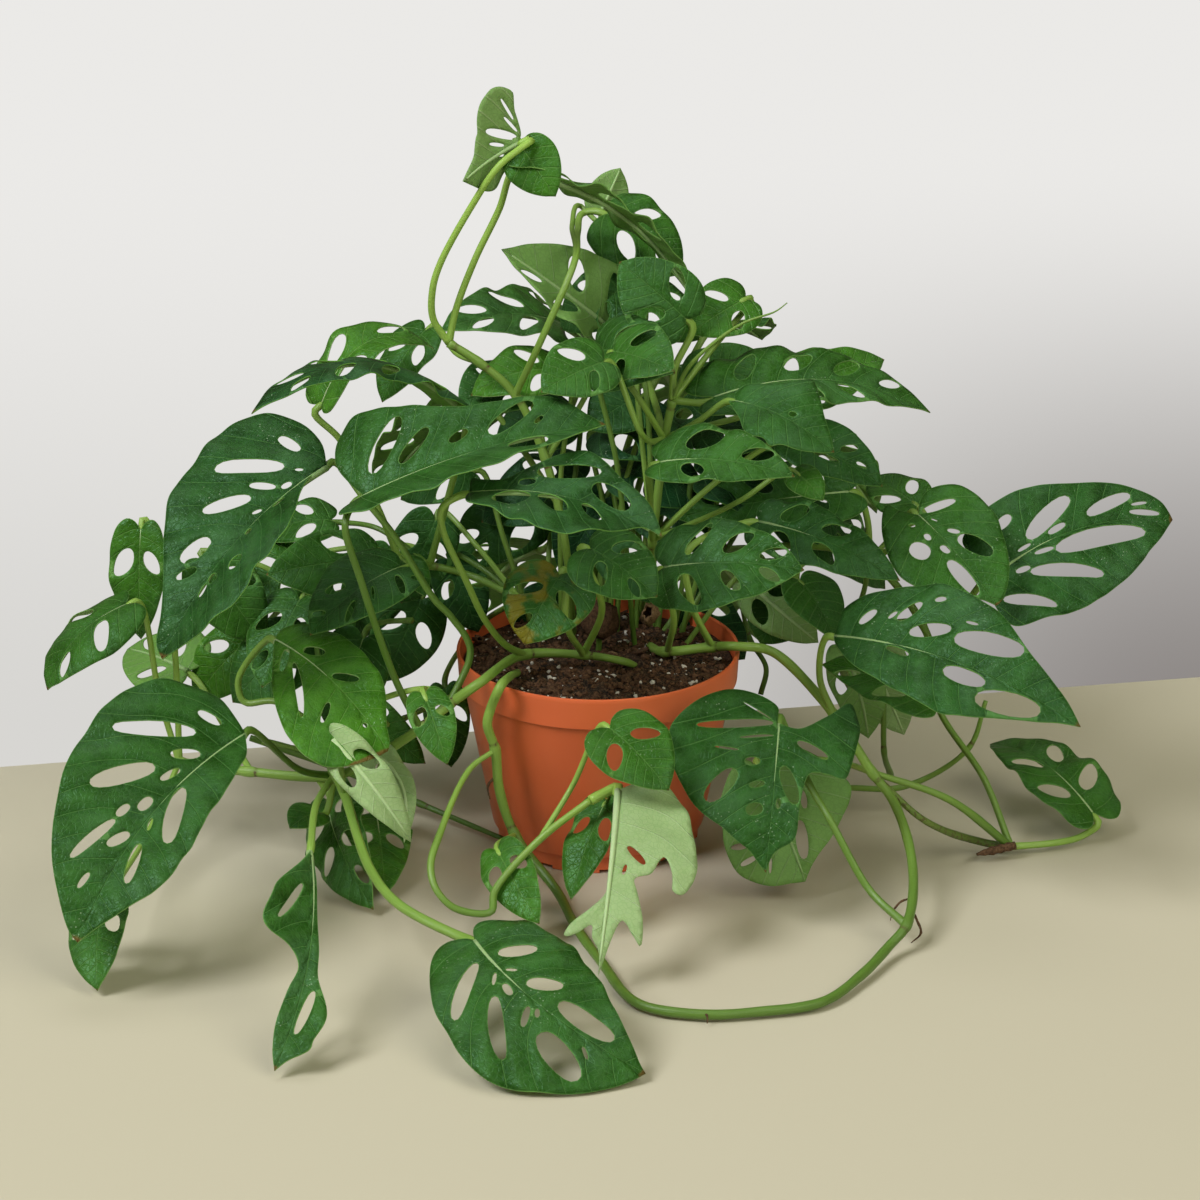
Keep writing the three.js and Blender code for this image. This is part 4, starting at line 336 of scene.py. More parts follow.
# Small leaves inside the crown: stalk end, drip tip, width of each half, the way the upper face looks, arch,
# fold, curl, twist, the foot of its stalk, how fresh its green is, 1 if turned over
INNER = [
    ((-20, 55, 246), (-68, 40, 237), 19, (-0.1, -0.5, 0.85), 0.16, 10, -20, 0, (-20, 40, 98), 0.75, 0),
    ((0, 5, 274), (40, -25, 271), 25, (0.1, -0.75, 0.6), 0.14, 16, -50, 20, (20, 20, 98), 0.3, 0),
    ((78, 60, 193), (145, 70, 128), 23, (0.2, -0.5, 0.8), 0.12, 8, -20, 0, (45, 40, 98), 0.25, 0),
    ((58, 45, 189), (116, 55, 161), 21, (0, -0.4, 0.9), 0.12, 8, -20, 0, (40, 30, 98), 0.2, 0),
    ((97, 80, 163), (160, 95, 105), 22, (0.2, -0.6, 0.7), 0.12, 8, -20, 0, (45, 50, 98), 0.35, 0),
    ((4, 5, 165), (32, -8, 137), 13, (-0.1, -0.9, 0.5), 0.1, 14, -20, 10, (0, 10, 98), 0.5, 0),
    ((81, 25, 136), (119, 15, 105), 15, (-0.2, -0.9, 0.4), 0.1, 10, -20, 0, (45, 20, 98), 0.65, 1),
    ((1, 60, 211), (52, 50, 202), 23, (0, -0.5, 0.85), 0.14, 10, -20, 0, (5, 45, 98), 0.18, 0),
    ((-17, 75, 213), (-56, 70, 197), 21, (0, -0.5, 0.85), 0.14, 10, -20, 0, (-10, 50, 98), 0.22, 0),
    ((13, 60, 189), (58, 45, 173), 22, (0.1, -0.6, 0.8), 0.14, 10, -20, 0, (10, 40, 98), 0.15, 0),
    ((-8, 80, 175), (-64, 75, 152), 24, (-0.1, -0.6, 0.8), 0.14, 10, -20, 0, (-15, 48, 98), 0.25, 0),
    ((4, 65, 170), (-20, 50, 131), 20, (-0.1, -0.9, 0.4), 0.1, 10, -20, 0, (0, 42, 98), 0.2, 0),
    ((26, 65, 169), (70, 55, 145), 22, (0.1, -0.7, 0.7), 0.12, 10, -20, 0, (20, 45, 98), 0.16, 0),
    ((-29, 85, 162), (-81, 85, 123), 22, (-0.1, -0.8, 0.6), 0.12, 10, -20, 0, (-25, 50, 98), 0.4, 0),
    ((36, 65, 215), (78, 55, 231), 22, (0, -0.3, 0.9), 0.16, 10, -20, 0, (20, 50, 98), 0.3, 0),
    ((57, 75, 206), (112, 70, 198), 23, (0.1, -0.4, 0.9), 0.14, 10, -20, 0, (30, 50, 98), 0.22, 0),
    ((23, 60, 230), (-5, 45, 216), 19, (-0.1, -0.7, 0.7), 0.12, 10, -20, 0, (5, 40, 98), 0.28, 0),
    ((50, 70, 229), (88, 75, 250), 18, (0.1, -0.6, 0.8), 0.12, 10, -20, 0, (25, 55, 98), 0.55, 0),
    ((22, 55, 286), (54, 50, 265), 17, (0.1, -0.7, 0.7), 0.12, 10, -20, 0, (29, 5, 168), 0.45, 0),
    ((12, 60, 290), (-20, 60, 268), 18, (-0.1, -0.7, 0.7), 0.12, 10, -20, 0, (29, 5, 168), 0.3, 0),
    ((-162, 45, 141), (-196, 40, 113), 18, (-0.2, -0.8, 0.6), 0.12, 10, -20, 0, (-91, 30, 144), 0.45, 0),
    ((-145, 60, 110), (-171, 55, 74), 20, (-0.1, -0.9, 0.5), 0.12, 10, -20, 0, (-107, 25, 149), 0.6, 0),
    ((-113, 70, 134), (-136, 65, 87), 19, (0, -0.9, 0.5), 0.1, 10, -20, 0, (-69, 30, 138), 0.4, 0),
    ((-191, 45, 95), (-221, 40, 61), 19, (-0.2, -0.8, 0.6), 0.12, 10, -20, 0, (-150, 20, 128), 0.75, 0),
    ((-88, 40, 166), (-107, 35, 120), 18, (0, -0.9, 0.4), 0.1, 10, -20, 0, (-42, 10, 132), 0.35, 0),
    ((-85, 70, 55), (-82, 60, 12), 13, (0, -0.95, 0.3), 0.08, 12, -20, 15, (-42, 10, 132), 0.5, 0),
    ((-146, 60, 159), (-184, 60, 147), 17, (-0.1, -0.4, 0.9), 0.14, 10, -20, 0, (-91, 30, 144), 0.3, 0),
    ((-70, 70, 184), (-108, 70, 167), 20, (0, -0.5, 0.9), 0.14, 10, -20, 0, (-35, 45, 98), 0.25, 0),
    ((144, 60, 89), (169, 45, 38), 19, (0.1, -0.9, 0.4), 0.1, 10, -20, 0, (147, 40, 143), 0.75, 1),
    ((-21, 60, 112), (-54, 60, 89), 16, (-0.1, -0.9, 0.4), 0.1, 10, -20, 0, (-25, 50, 98), 0.3, 0),
    ((-136, -112, 102), (-96, -128, 52), 13, (0.25, -0.8, 0.5), 0.1, 28, -40, 30, (-132, -92, 63), 1, 1),
    ((-40, 31, 377), (-22, 20, 353), 15, (0, -0.95, 0.2), 0.06, 6, -10, 0, (-50, 33, 368), 0.6, 0),
    ((-160, 20, 105), (-198, 10, 72), 22, (-0.2, -0.8, 0.6), 0.12, 10, -20, 0, (-140, -10, 80), 0.35, 0),
    ((-79, 35, 144), (-65, 25, 107), 15, (0, -0.9, 0.4), 0.1, 10, -20, 0, (-42, 10, 132), 0.25, 0),
    ((-138, 20, 68), (-94, 10, 36), 14, (0.1, -0.9, 0.4), 0.1, 10, -20, 0, (-112, -40, 80), 0.4, 0),
    ((50, 60, 112), (81, 60, 77), 16, (0.1, -0.9, 0.4), 0.1, 10, -20, 0, (35, 45, 98), 0.25, 0),
    ((-212, 30, 147), (-181, 20, 103), 20, (-0.1, -0.9, 0.5), 0.12, 10, -20, 0, (-150, 20, 128), 0.45, 0),
    ((-128, 30, 101), (-145, 20, 50), 20, (0, -0.9, 0.5), 0.1, 10, -20, 0, (-100, 10, 120), 0.3, 0),
    ((-97, 50, 116), (-117, 45, 70), 20, (0, -0.9, 0.5), 0.1, 10, -20, 0, (-69, 30, 138), 0.28, 0),
]

# thin stems inside the crown: route, radius, how light
INNER_STEMS = [([(-73, 48, 64), (-109, 40, 49), (-147, 30, 34), (-184, 20, 45)], 1.9, 0.4),
               ([(-52, -20, 5), (-98, 15, 10), (-142, 25, 26), (-190, 20, 47)], 1.8, 0.15),
               ([(79, 70, 106), (84, 70, 85), (93, 65, 70), (90, 60, 56)], 1.7, 0.15),
               ([(157, 40, 61), (158, 44, 29), (164, 70, 3)], 1.9, 0.3),
               ([(211, 20, 69), (202, 15, 43), (168, 20, 18), (136, 25, 15)], 1.7, 0.45)]

# dead leaf bases on the mix: place, size, turn in degrees; and dry air roots: route, radius
HUSKS = [((0, 6, 117), 19, (-30, 25, 10)), ((29, 22, 119), 13, (30, -60, 40)),
         ((-65, 21, 104), 7, (60, 20, 0)), ((6, 2, 103), 6, (80, 0, 50))]
ROOTLETS = [([(161, -132, 17), (164, -139, 13), (166, -142, 7), (161, -143, 2)], 0.7),
            ([(162, -125, 19), (156, -128, 18), (152, -130, 13), (151, -131, 9)], 0.6),
            ([(51, -227, 4), (54, -231, 5), (54, -234, 2)], 0.8),
            ([(224, -36, 8), (214, -39, 7), (203, -43, 6)], 2.4),
            ([(-53, -63, 61), (-58, -65, 56), (-57, -67, 49)], 0.8)]

# stem it belongs to, leaf that it carries, radius, route; the first row of each is the trailing stem itself
STEMS = [
    ("vine_left", "", 3.2, ((22, -4, 98), (13, -19, 108), (-8, -15, 110), (-39, -22, 113), (-62, -64, 114),
     (-78, -62, 101), (-93, -70, 91), (-112, -66, 76), (-140, -50, 55), (-185, -40, 53), (-225, -20, 50))),
    ("vine_left", "leaf_17", 2.1, ((-39, -22, 113), (-49, -40, 126), (-59, -60, 148), (-68, -80, 178),
     (-79, -92, 210), (-79, -96, 223))),
    ("vine_left", "leaf_34", 2.1, ((-8, -15, 110), (-17, -50, 144))),
    ("vine_left", "leaf_35", 2.1, ((-8, -15, 110), (2, -36, 144))),
    ("vine_left", "leaf_16", 2.1, ((-93, -70, 91), (-105, -75, 120), (-121, -92, 182), (-128, -98, 215))),
    ("vine_left", "leaf_01", 2.1, ((-78, -62, 101), (-67, -50, 127), (-77, -48, 145), (-85, -48, 154),
     (-106, -45, 189), (-121, -42, 208))),
    ("vine_left", "leaf_07", 2.1, ((-112, -66, 76), (-141, -58, 82), (-170, -46, 96), (-187, -42, 94),
     (-190, -40, 106))),
    ("vine_left", "leaf_04", 2.1, ((-140, -50, 55), (-156, -70, 67))),
    ("vine_left", "leaf_06", 2.1, ((-140, -50, 55), (-150, -26, 43))),
    ("vine_left", "sprout_03", 2.1, ((-112, -66, 76), (-117, -30, 49))),
    ("vine_left", "sprout_04", 2.1, ((-140, -50, 55),)),
    ("vine_left", "leaf_05", 2.1, ((-140, -50, 55), (-145, -120, 69))),
    ("vine_left", "sprout_14", 1.8, ((-78, -62, 101), (-88, -70, 113), (-114, -70, 107))),
    ("vine_left", "sprout_15", 1.6, ((-78, -62, 101),)),
    ("vine_left", "leaf_44", 2.6, ((-140, -50, 55), (-140, -64, 65), (-132, -92, 63), (-116, -150, 47),
     (-99, -185, 43))),
    ("vine_left", "leaf_03", 1.9, ((-225, -20, 50), (-235, -10, 82))),
    ("vine_left", "leaf_02", 1.9, ((-225, -20, 50), (-227, 0, 101), (-231, 8, 155))),
    ("vine_left", "sprout_01", 1.9, ((-185, -40, 53), (-205, 10, 62))),
    ("vine_left", "sprout_02", 1.7, ((-225, -20, 50), (-238, -60, 28))),
    ("vine_floor", "", 3.2, ((-42, -10, 98), (-46, -47, 111), (-51, -72, 115), (-56, -67, 101),
     (-58, -67, 92), (-54, -64, 76), (-52, -64, 53), (-44, -70, 30), (-22, -92, 8), (-12, -128, 5),
     (1, -167, 4), (21, -217, 4), (51, -228, 4), (80, -225, 4), (111, -215, 4), (133, -186, 5),
     (149, -158, 8), (158, -147, 14), (164, -95, 27), (156, -60, 45), (145, -52, 58), (125, -40, 86),
     (99, -22, 110), (89, -14, 113), (73, -15, 115), (61, -6, 111), (37, -8, 109), (27, 28, 98))),
    ("vine_floor", "", 2.9, ((145, -52, 58), (187, -45, 39), (222, -33, 6))),
    ("vine_floor", "", 2.6, ((145, -52, 58), (171, -60, 35), (206, -31, 8), (222, -33, 6))),
    ("vine_floor", "leaf_39", 2.1, ((222, -33, 6), (249, -25, 5), (262, -17, 5))),
    ("vine_floor", "", 2.4, ((-54, -64, 76), (-67, -75, 70), (-82, -115, 50), (-86, -130, 40),
     (-83, -140, 31), (-73, -146, 23), (-55, -146, 21), (-53, -135, 28), (-30, -120, 50), (-4, -118, 71))),
    ("vine_floor", "leaf_43", 2.2, ((-4, -118, 71),)),
    ("vine_floor", "leaf_42", 1.8, ((-30, -120, 50), (-13, -102, 73))),
    ("vine_floor", "sprout_12", 1.6, ((-4, -118, 71),)),
    ("vine_floor", "sprout_13", 1.6, ((-44, -70, 30),)),
    ("vine_floor", "leaf_40", 2.4, ((158, -147, 14), (140, -125, 24), (120, -108, 56), (109, -90, 70))),
    ("vine_floor", "leaf_41", 1.9, ((145, -52, 58), (125, -20, 51))),
    ("vine_floor", "leaf_38", 2.1, ((125, -40, 86), (117, -42, 107))),
    ("vine_floor", "leaf_37", 2.1, ((222, -33, 6), (209, -10, 35), (184, 22, 69), (192, 12, 114))),
    ("vine_floor", "leaf_31", 2.1, ((37, -6, 108), (39, -50, 149))),
    ("vine_floor", "leaf_32", 2.1, ((61, -6, 111), (49, -20, 143), (48, -20, 172))),
    ("vine_top", "", 2.8, ((-13, 36, 98), (-18, 15, 164), (-28, 25, 206), (-44, 30, 241), (-63, 30, 259),
     (-79, 30, 270))),
    ("vine_top", "leaf_18", 2.1, ((-79, 30, 270), (-87, 28, 284), (-87, 25, 301), (-83, 24, 315),
     (-67, 20, 346), (-51, 16, 371))),
    ("vine_top", "leaf_19", 2.1, ((-79, 30, 270), (-75, 32, 288), (-65, 36, 314), (-52, 38, 341))),
    ("vine_top", "leaf_20", 2.1, ((-44, 30, 241), (-30, 12, 277), (-13, 22, 315), (-11, 66, 320),
     (-8, 97, 322))),
    ("vine_top", "sprout_06", 1.6, ((-44, 30, 241), (-30, 12, 277), (-13, 22, 315), (-14, 80, 320),
     (-10, 118, 320))),
    ("vine_top", "leaf_13", 1.9, ((-63, 30, 259), (-77, 64, 254))),
    ("vine_top", "leaf_14", 2.1, ((-28, 25, 206), (-13, 75, 223))),
    ("vine_top", "leaf_15", 1.9, ((-28, 25, 206), (-32, 50, 217))),
    ("vine_top", "sprout_07", 1.7, ((-28, 25, 206), (-3, 60, 239))),
    ("vine_middle", "", 2.8, ((23, 59, 98), (29, 5, 168), (35, 0, 226), (39, 0, 248))),
    ("vine_middle", "leaf_22", 2.1, ((39, 0, 248), (40, 6, 263))),
    ("vine_middle", "", 2, ((39, 0, 248), (48, -5, 269), (74, -10, 293), (92, -10, 300), (98, -8, 304))),
    ("vine_middle", "sprout_08", 1.9, ((39, 0, 248), (60, 22, 269))),
    ("vine_middle", "leaf_21", 2.1, ((35, 0, 226), (30, 45, 233), (23, 70, 245))),
    ("vine_middle", "leaf_23", 1.9, ((35, 0, 226), (22, -15, 253))),
    ("vine_middle", "leaf_24", 1.9, ((35, 0, 226), (22, -52, 248))),
    ("vine_middle", "leaf_25", 2.1, ((39, 0, 248),)),
    ("vine_middle", "leaf_26", 1.9, ((35, 0, 226), (60, 30, 224))),
    ("vine_middle", "leaf_27", 1.9, ((35, 0, 226), (53, -20, 244))),
    ("vine_middle", "leaf_28", 1.9, ((29, 5, 168), (64, 0, 204))),
    ("vine_middle", "leaf_29", 2.1, ((29, 5, 168), (27, -40, 207))),
    ("vine_back_left", "", 2.6, ((-29, 59, 98), (-42, 10, 132), (-69, 30, 138), (-91, 30, 144),
     (-107, 25, 149), (-128, 20, 136), (-150, 20, 128))),
    ("vine_back_left", "leaf_08", 1.9, ((-150, 20, 128),)),
    ("vine_back_left", "leaf_09", 1.9, ((-107, 25, 149),)),
    ("vine_back_left", "leaf_10", 1.9, ((-91, 30, 144), (-97, 0, 158))),
    ("vine_back_left", "sprout_05", 1.5, ((-91, 30, 144),)),
    ("vine_back_left", "leaf_11", 2.1, ((-91, 30, 144), (-76, 20, 202), (-71, 10, 223))),
    ("vine_back_left", "leaf_12", 2.1, ((-107, 25, 149), (-120, 28, 182), (-138, 30, 216))),
    ("vine_back_right", "", 2.6, ((32, 46, 98), (38, 54, 122), (67, 60, 136), (110, 50, 148), (147, 40, 143),
     (174, 20, 116), (187, 0, 84))),
    ("vine_middle", "sprout_09", 1.6, ((29, 5, 168), (74, -38, 206))),
    ("vine_back_right", "leaf_30", 2.1, ((147, 40, 143), (146, 46, 164))),
    ("vine_back_right", "leaf_33", 1.9, ((110, 50, 148), (108, 42, 134))),
    ("vine_back_right", "sprout_10", 1.9, ((110, 50, 148), (112, 30, 147))),
    ("vine_back_right", "leaf_36", 2.1, ((147, 40, 143), (162, 20, 162))),
    ("vine_back_right", "sprout_11", 1.7, ((147, 40, 143), (164, 48, 158))),
    ("vine_back_right", "leaf_45", 1.9, ((187, 0, 84),)),
    ("vine_back_right", "sprout_16", 1.9, ((174, 20, 116), (153, 24, 112))),
    ("vine_back", "", 2.8, ((5, 38, 98), (6, 52, 118), (8, 84, 140), (10, 96, 110), (14, 112, 60),
     (20, 130, 20), (40, 150, 5))),
    ("vine_back", "leaf_46", 2.1, ((6, 52, 118), (-30, 66, 180))),
    ("vine_back", "leaf_47", 2.1, ((6, 52, 118), (14, 74, 190))),
    ("vine_back", "leaf_48", 2.1, ((6, 52, 118), (50, 70, 170))),
    ("vine_back", "leaf_49", 2.1, ((8, 84, 140), (-16, 104, 138))),
    ("vine_back", "leaf_50", 2.1, ((8, 84, 140), (36, 104, 138))),
    ("vine_back", "sprout_17", 2.1, ((6, 52, 118), (30, 72, 200))),
]

# ------------------------------------------------------------------ looks of single leaves
# how yellow and light a leaf is, from 0, deep bluish green, to 1, fresh yellow green
TONE = {
    "leaf_01": 0.22, "leaf_02": 0.6, "leaf_03": 0.35, "sprout_01": 0.15, "leaf_04": 0.2, "sprout_02": 0.4,
    "leaf_05": 0.3, "leaf_06": 0.5, "sprout_03": 0.6, "sprout_04": 0.6, "leaf_07": 0.72, "leaf_08": 0.4,
    "leaf_09": 0.4, "leaf_10": 0.3, "sprout_05": 0.5, "leaf_11": 0.12, "leaf_12": 0.65, "leaf_13": 0.35,
    "leaf_14": 0.4, "leaf_15": 0.35, "leaf_16": 0.24, "leaf_17": 0.22, "leaf_18": 0.42, "leaf_19": 0.24,
    "sprout_06": 0.5, "leaf_20": 0.35, "leaf_21": 0.35, "sprout_07": 0.4, "leaf_22": 0.35, "sprout_08": 0.5,
    "leaf_23": 0.35, "leaf_24": 0.35, "leaf_25": 0.35, "leaf_26": 0.6, "leaf_27": 0.3, "leaf_28": 0.25,
    "leaf_29": 0.35, "sprout_09": 0.5, "leaf_30": 0.3, "leaf_31": 0.35, "leaf_32": 0.35, "leaf_33": 0.4,
    "sprout_10": 0.5, "leaf_34": 0.5, "leaf_35": 0.4, "leaf_36": 0.3, "sprout_11": 0.5, "leaf_37": 0.16,
    "leaf_38": 0.25, "leaf_39": 0.4, "leaf_40": 0.26, "leaf_41": 0.36, "leaf_42": 0.45, "sprout_12": 0.5,
    "leaf_43": 1, "leaf_44": 0.25, "sprout_13": 0.6, "sprout_14": 1, "sprout_15": 0.6, "leaf_45": 0.5,
    "sprout_16": 0.35,
}
AGED = {"leaf_34"}
UNDERSIDE_UP = {"leaf_43", "sprout_14", "sprout_01", "leaf_21", "leaf_41", "sprout_16"}
# how light the stalk of a leaf is, where it differs from its stem
STALK_TONE = {
    "leaf_18": 1.2, "leaf_19": 0.8, "leaf_43": 1, "sprout_14": 0.95, "leaf_44": 0.55, "leaf_04": 0.2,
    "leaf_01": 0.25, "leaf_16": 0.2, "leaf_07": 0.45, "leaf_37": 0.4, "leaf_40": 0.3,
}
STOUT = {"leaf_43": 1.3, "leaf_44": 1.1}      # stalks thicker than their solids
# each stem's tone low on the table and high up: young stems are light, old ones dark
STEM_TONE = {"vine_left": (0.58, 0.66), "vine_floor": (0.22, 0.74), "vine_top": (0.50, 0.50),
             "vine_middle": (0.46, 0.46), "vine_back_left": (0.35, 0.35), "vine_back_right": (0.35, 0.35),
             "vine_back": (0.40, 0.40)}
FLOOR_LEFT, FLOOR_RIGHT = (0.565, 0.533, 0.412), (0.57, 0.533, 0.412)
# painted light of the glowing backdrop: bright at the top, dimmer lower down, and painted shade low on the right
WALL_TOP, WALL_DOWN, WALL_SHADE_LOW = (0.83, 0.82, 0.80), (0.68, 0.67, 0.645), (0.26, 0.24, 0.23)


def jitter(seed, k):
    """A repeatable number from -1 to 1 for draw k of a leaf."""
    return 2 * (abs(math.sin(seed * 12.9898 + k * 78.233) * 43758.5453) % 1) - 1


# ------------------------------------------------------------------ shader helpers
class Sheet:
    """Adds shader nodes to one tree and links them."""

    def __init__(self, tree):
        self.tree = tree

    def add(self, kind, **settings):
        node = self.tree.nodes.new(kind)
        for key, value in settings.items():
            setattr(node, key, value)
        return node

    def feed(self, socket, value):
        if isinstance(value, bpy.types.NodeSocket):
            self.tree.links.new(value, socket)
        elif value is not None:
            if hasattr(socket.default_value, "__len__") and not hasattr(value, "__len__"):
                value = [value] * len(socket.default_value)
            if hasattr(value, "__len__") and len(socket.default_value) == 4 and len(value) == 3:
                value = (*value, 1)
            socket.default_value = value

    def math(self, operation, a, b=None, c=None, clamp=False):
        node = self.add("ShaderNodeMath", operation=operation, use_clamp=clamp)
        for socket, value in zip(node.inputs, (a, b, c)):
            self.feed(socket, value)
        return node.outputs[0]

    def mix(self, factor, a, b):
        node = self.add("ShaderNodeMix", data_type="RGBA")
        self.feed(node.inputs[0], factor)
        self.feed(node.inputs[6], a)
        self.feed(node.inputs[7], b)
        return node.outputs[2]

    def span(self, value, low, high, to_low=0.0, to_high=1.0):
        node = self.add("ShaderNodeMapRange", interpolation_type="SMOOTHSTEP")
        for socket, v in zip(node.inputs, (value, low, high, to_low, to_high)):
            self.feed(socket, v)
        return node.outputs[0]

    def attribute(self, name):
        return self.add("ShaderNodeAttribute", attribute_name=name).outputs["Fac"]

    def place(self):
        return self.add("ShaderNodeTexCoord").outputs["Object"]

    def noise(self, vector, scale, detail=2, rough=0.5):
        node = self.add("ShaderNodeTexNoise")
        for name, value in (("Vector", vector), ("Scale", scale), ("Detail", detail), ("Roughness", rough)):
            self.feed(node.inputs[name], value)
        return node.outputs[0]

    def cells(self, vector, scale, feature="F1"):
        node = self.add("ShaderNodeTexVoronoi", feature=feature)
        self.feed(node.inputs["Vector"], vector)
        self.feed(node.inputs["Scale"], scale)
        return node.outputs[0]

    def combine(self, *parts):
        node = self.add("ShaderNodeCombineXYZ")
        for socket, value in zip(node.inputs, parts):
            self.feed(socket, value)
        return node.outputs[0]

    def split(self, vector):
        node = self.add("ShaderNodeSeparateXYZ")
        self.feed(node.inputs[0], vector)
        return node.outputs

    def pile(self, *parts):
        """The sum of (value, weight) pairs."""
        total = self.math("MULTIPLY", *parts[0])
        for value, weight in parts[1:]:
            total = self.math("MULTIPLY_ADD", value, weight, total)
        return total

    def bump(self, height, distance, strength=1.0):
        node = self.add("ShaderNodeBump")
        self.feed(node.inputs["Strength"], strength)
        self.feed(node.inputs["Distance"], distance)
        self.feed(node.inputs["Height"], height)
        return node.outputs[0]


def finish_of(name, roughness=0.5, specular=0.5):
    """A new material with one Principled shader; returns it, its sheet and the shader's inputs."""
    material = bpy.data.materials.new(name)
    material.use_nodes = True
    shader = material.node_tree.nodes["Principled BSDF"]
    shader.inputs["Roughness"].default_value = roughness
    shader.inputs["Specular IOR Level"].default_value = specular
    return material, Sheet(material.node_tree), shader.inputs


def let_light_in(shader, weight, radius):
    """Light that goes a little way into living tissue and comes out again."""
    shader["Subsurface Weight"].default_value = weight
    shader["Subsurface Radius"].default_value = radius
    shader["Subsurface Scale"].default_value = 0.4


def group_of(name, ins, outs):
    """A new shader group; ins and outs are (name, socket type[, value])."""
    tree = bpy.data.node_groups.new(name, "ShaderNodeTree")
    for label, kind, *value in ins:
        socket = tree.interface.new_socket(label, in_out="INPUT", socket_type="NodeSocket" + kind)
        if value:
            socket.default_value = value[0]
    for label, kind in outs:
        tree.interface.new_socket(label, in_out="OUTPUT", socket_type="NodeSocket" + kind)
    sheet = Sheet(tree)
    return tree, sheet, sheet.add("NodeGroupInput").outputs, sheet.add("NodeGroupOutput").inputs


def use(sheet, tree, **values):
    node = sheet.add("ShaderNodeGroup", node_tree=tree)
    for name, value in values.items():
        sheet.feed(node.inputs[name], value)
    return node.outputs


def leaf_veins():
    """Midrib, side veins and the fine net between them, from the blade's own attributes."""
    tree, s, _, out = group_of("leaf_veins", [], [
        ("Rib", "Float"), ("Side", "Float"), ("Net", "Float"), ("Quilt", "Float"), ("Margin", "Float")])
    across = s.math("ABSOLUTE", s.attribute("across"))
    share = s.attribute("share")
    half = s.math("MULTIPLY_ADD", share, -0.32, 0.42)
    rib = s.span(across, half, s.math("ADD", half, 0.25), 1, 0)
    phase = s.attribute("vein")
    off = s.math("ABSOLUTE", s.math("SUBTRACT", s.math("FRACT", phase), 0.5))      # 0.5 on a vein
    gap = s.attribute("gap")
    away = s.math("MULTIPLY", s.math("SUBTRACT", 0.5, off), gap)                    # mm from the vein
    side = s.span(away, 0.12, 0.48, 1, 0)
    quilt = s.math("COSINE", s.math("MULTIPLY", phase, 2 * math.pi))
    quilt = s.math("MULTIPLY", quilt, s.span(gap, 6, 14))                           # only large leaves are quilted
    net = s.cells(s.combine(s.attribute("across"), s.attribute("along")), 0.42, "DISTANCE_TO_EDGE")
    edge = s.attribute("edge")
    for name, value in (("Rib", rib), ("Side", side), ("Net", s.span(net, 0.0, 0.13, 1, 0)), ("Quilt", quilt),
                        ("Margin", s.span(edge, 0.12, 0.5, 1, 0))):
        s.feed(out[name], value)
    return tree


def leaf_upper(veins):
    """Upper face: deep green with pale patches of painted sheen, flecks, light veins and a dry tip."""
    material, s, shader = finish_of("leaf_upper", 0.42, 0.25)
    v = use(s, veins)
    tone = s.attribute("tone")
    cloud = s.noise(s.place(), 55, 3, 0.6)
    grain = s.noise(s.place(), 420, 4, 0.65)
    mottle = s.span(s.math("MULTIPLY_ADD", grain, 0.35, s.math("MULTIPLY", cloud, 0.65)), 0.36, 0.64)
    deep = s.mix(mottle, (0.0008, 0.0125, 0.0030), (0.005, 0.044, 0.0125))
    fresh = s.mix(mottle, (0.036, 0.150, 0.003), (0.085, 0.275, 0.014))
    colour = s.mix(tone, deep, fresh)
    # painted sheen: pale grey-green patches, strongest on deep green leaves, stand in for the bluish sheen of
    # light on the blades
    painted_sheen = s.span(s.noise(s.place(), 30, 3, 0.55), 0.44, 0.66)
    painted_sheen = s.math("MULTIPLY", painted_sheen, s.math("MULTIPLY_ADD", tone, -0.34, 0.36, clamp=True))
    colour = s.mix(painted_sheen, colour, (0.062, 0.150, 0.066))
    light = s.mix(tone, (0.060, 0.175, 0.050), (0.180, 0.380, 0.070))
    colour = s.mix(s.math("MULTIPLY_ADD", v["Quilt"], -0.06, 0.06), colour, light)
    colour = s.mix(s.math("MULTIPLY", v["Net"], 0.10), colour, light)
    colour = s.mix(s.math("MULTIPLY", v["Side"], 0.52), colour, light)
    colour = s.mix(s.math("MULTIPLY", v["Rib"], s.math("MULTIPLY_ADD", tone, 0.45, 0.22)), colour, light)
    colour = s.mix(s.math("MULTIPLY", v["Margin"], 0.8), colour, light)
    fleck = s.span(s.cells(s.place(), 420), 0.05, 0.22, 1, 0)
    fleck = s.math("MULTIPLY", fleck, s.span(s.noise(s.place(), 40), 0.54, 0.66))
    colour = s.mix(s.math("MULTIPLY", fleck, 0.6), colour, (0.34, 0.46, 0.30))
    aged = s.math("MULTIPLY", s.attribute("aged"), s.span(s.noise(s.place(), 75, 3), 0.48, 0.60))
    colour = s.mix(aged, colour, (0.17, 0.15, 0.012))
    dry = s.math("MULTIPLY_ADD", s.noise(s.place(), 300), 0.02, s.attribute("share"))
    colour = s.mix(s.span(dry, 0.985, 1.0, 0, 0.85), colour, (0.16, 0.085, 0.025))
    s.feed(shader["Base Color"], colour)
    s.feed(shader["Roughness"], s.math("MULTIPLY_ADD", cloud, 0.22, s.math("MULTIPLY_ADD", tone, -0.10, 0.29)))
    height = s.pile((v["Rib"], -0.5), (v["Side"], -0.5), (v["Net"], -0.16), (v["Quilt"], -0.38),
                    (grain, 0.22), (cloud, 2.2))
    s.feed(shader["Normal"], s.bump(height, 0.0007, 1.0))
    let_light_in(shader, 0.06, (0.0012, 0.003, 0.0006))
    shader["Specular Tint"].default_value = (0.50, 0.95, 0.62, 1)
    return material


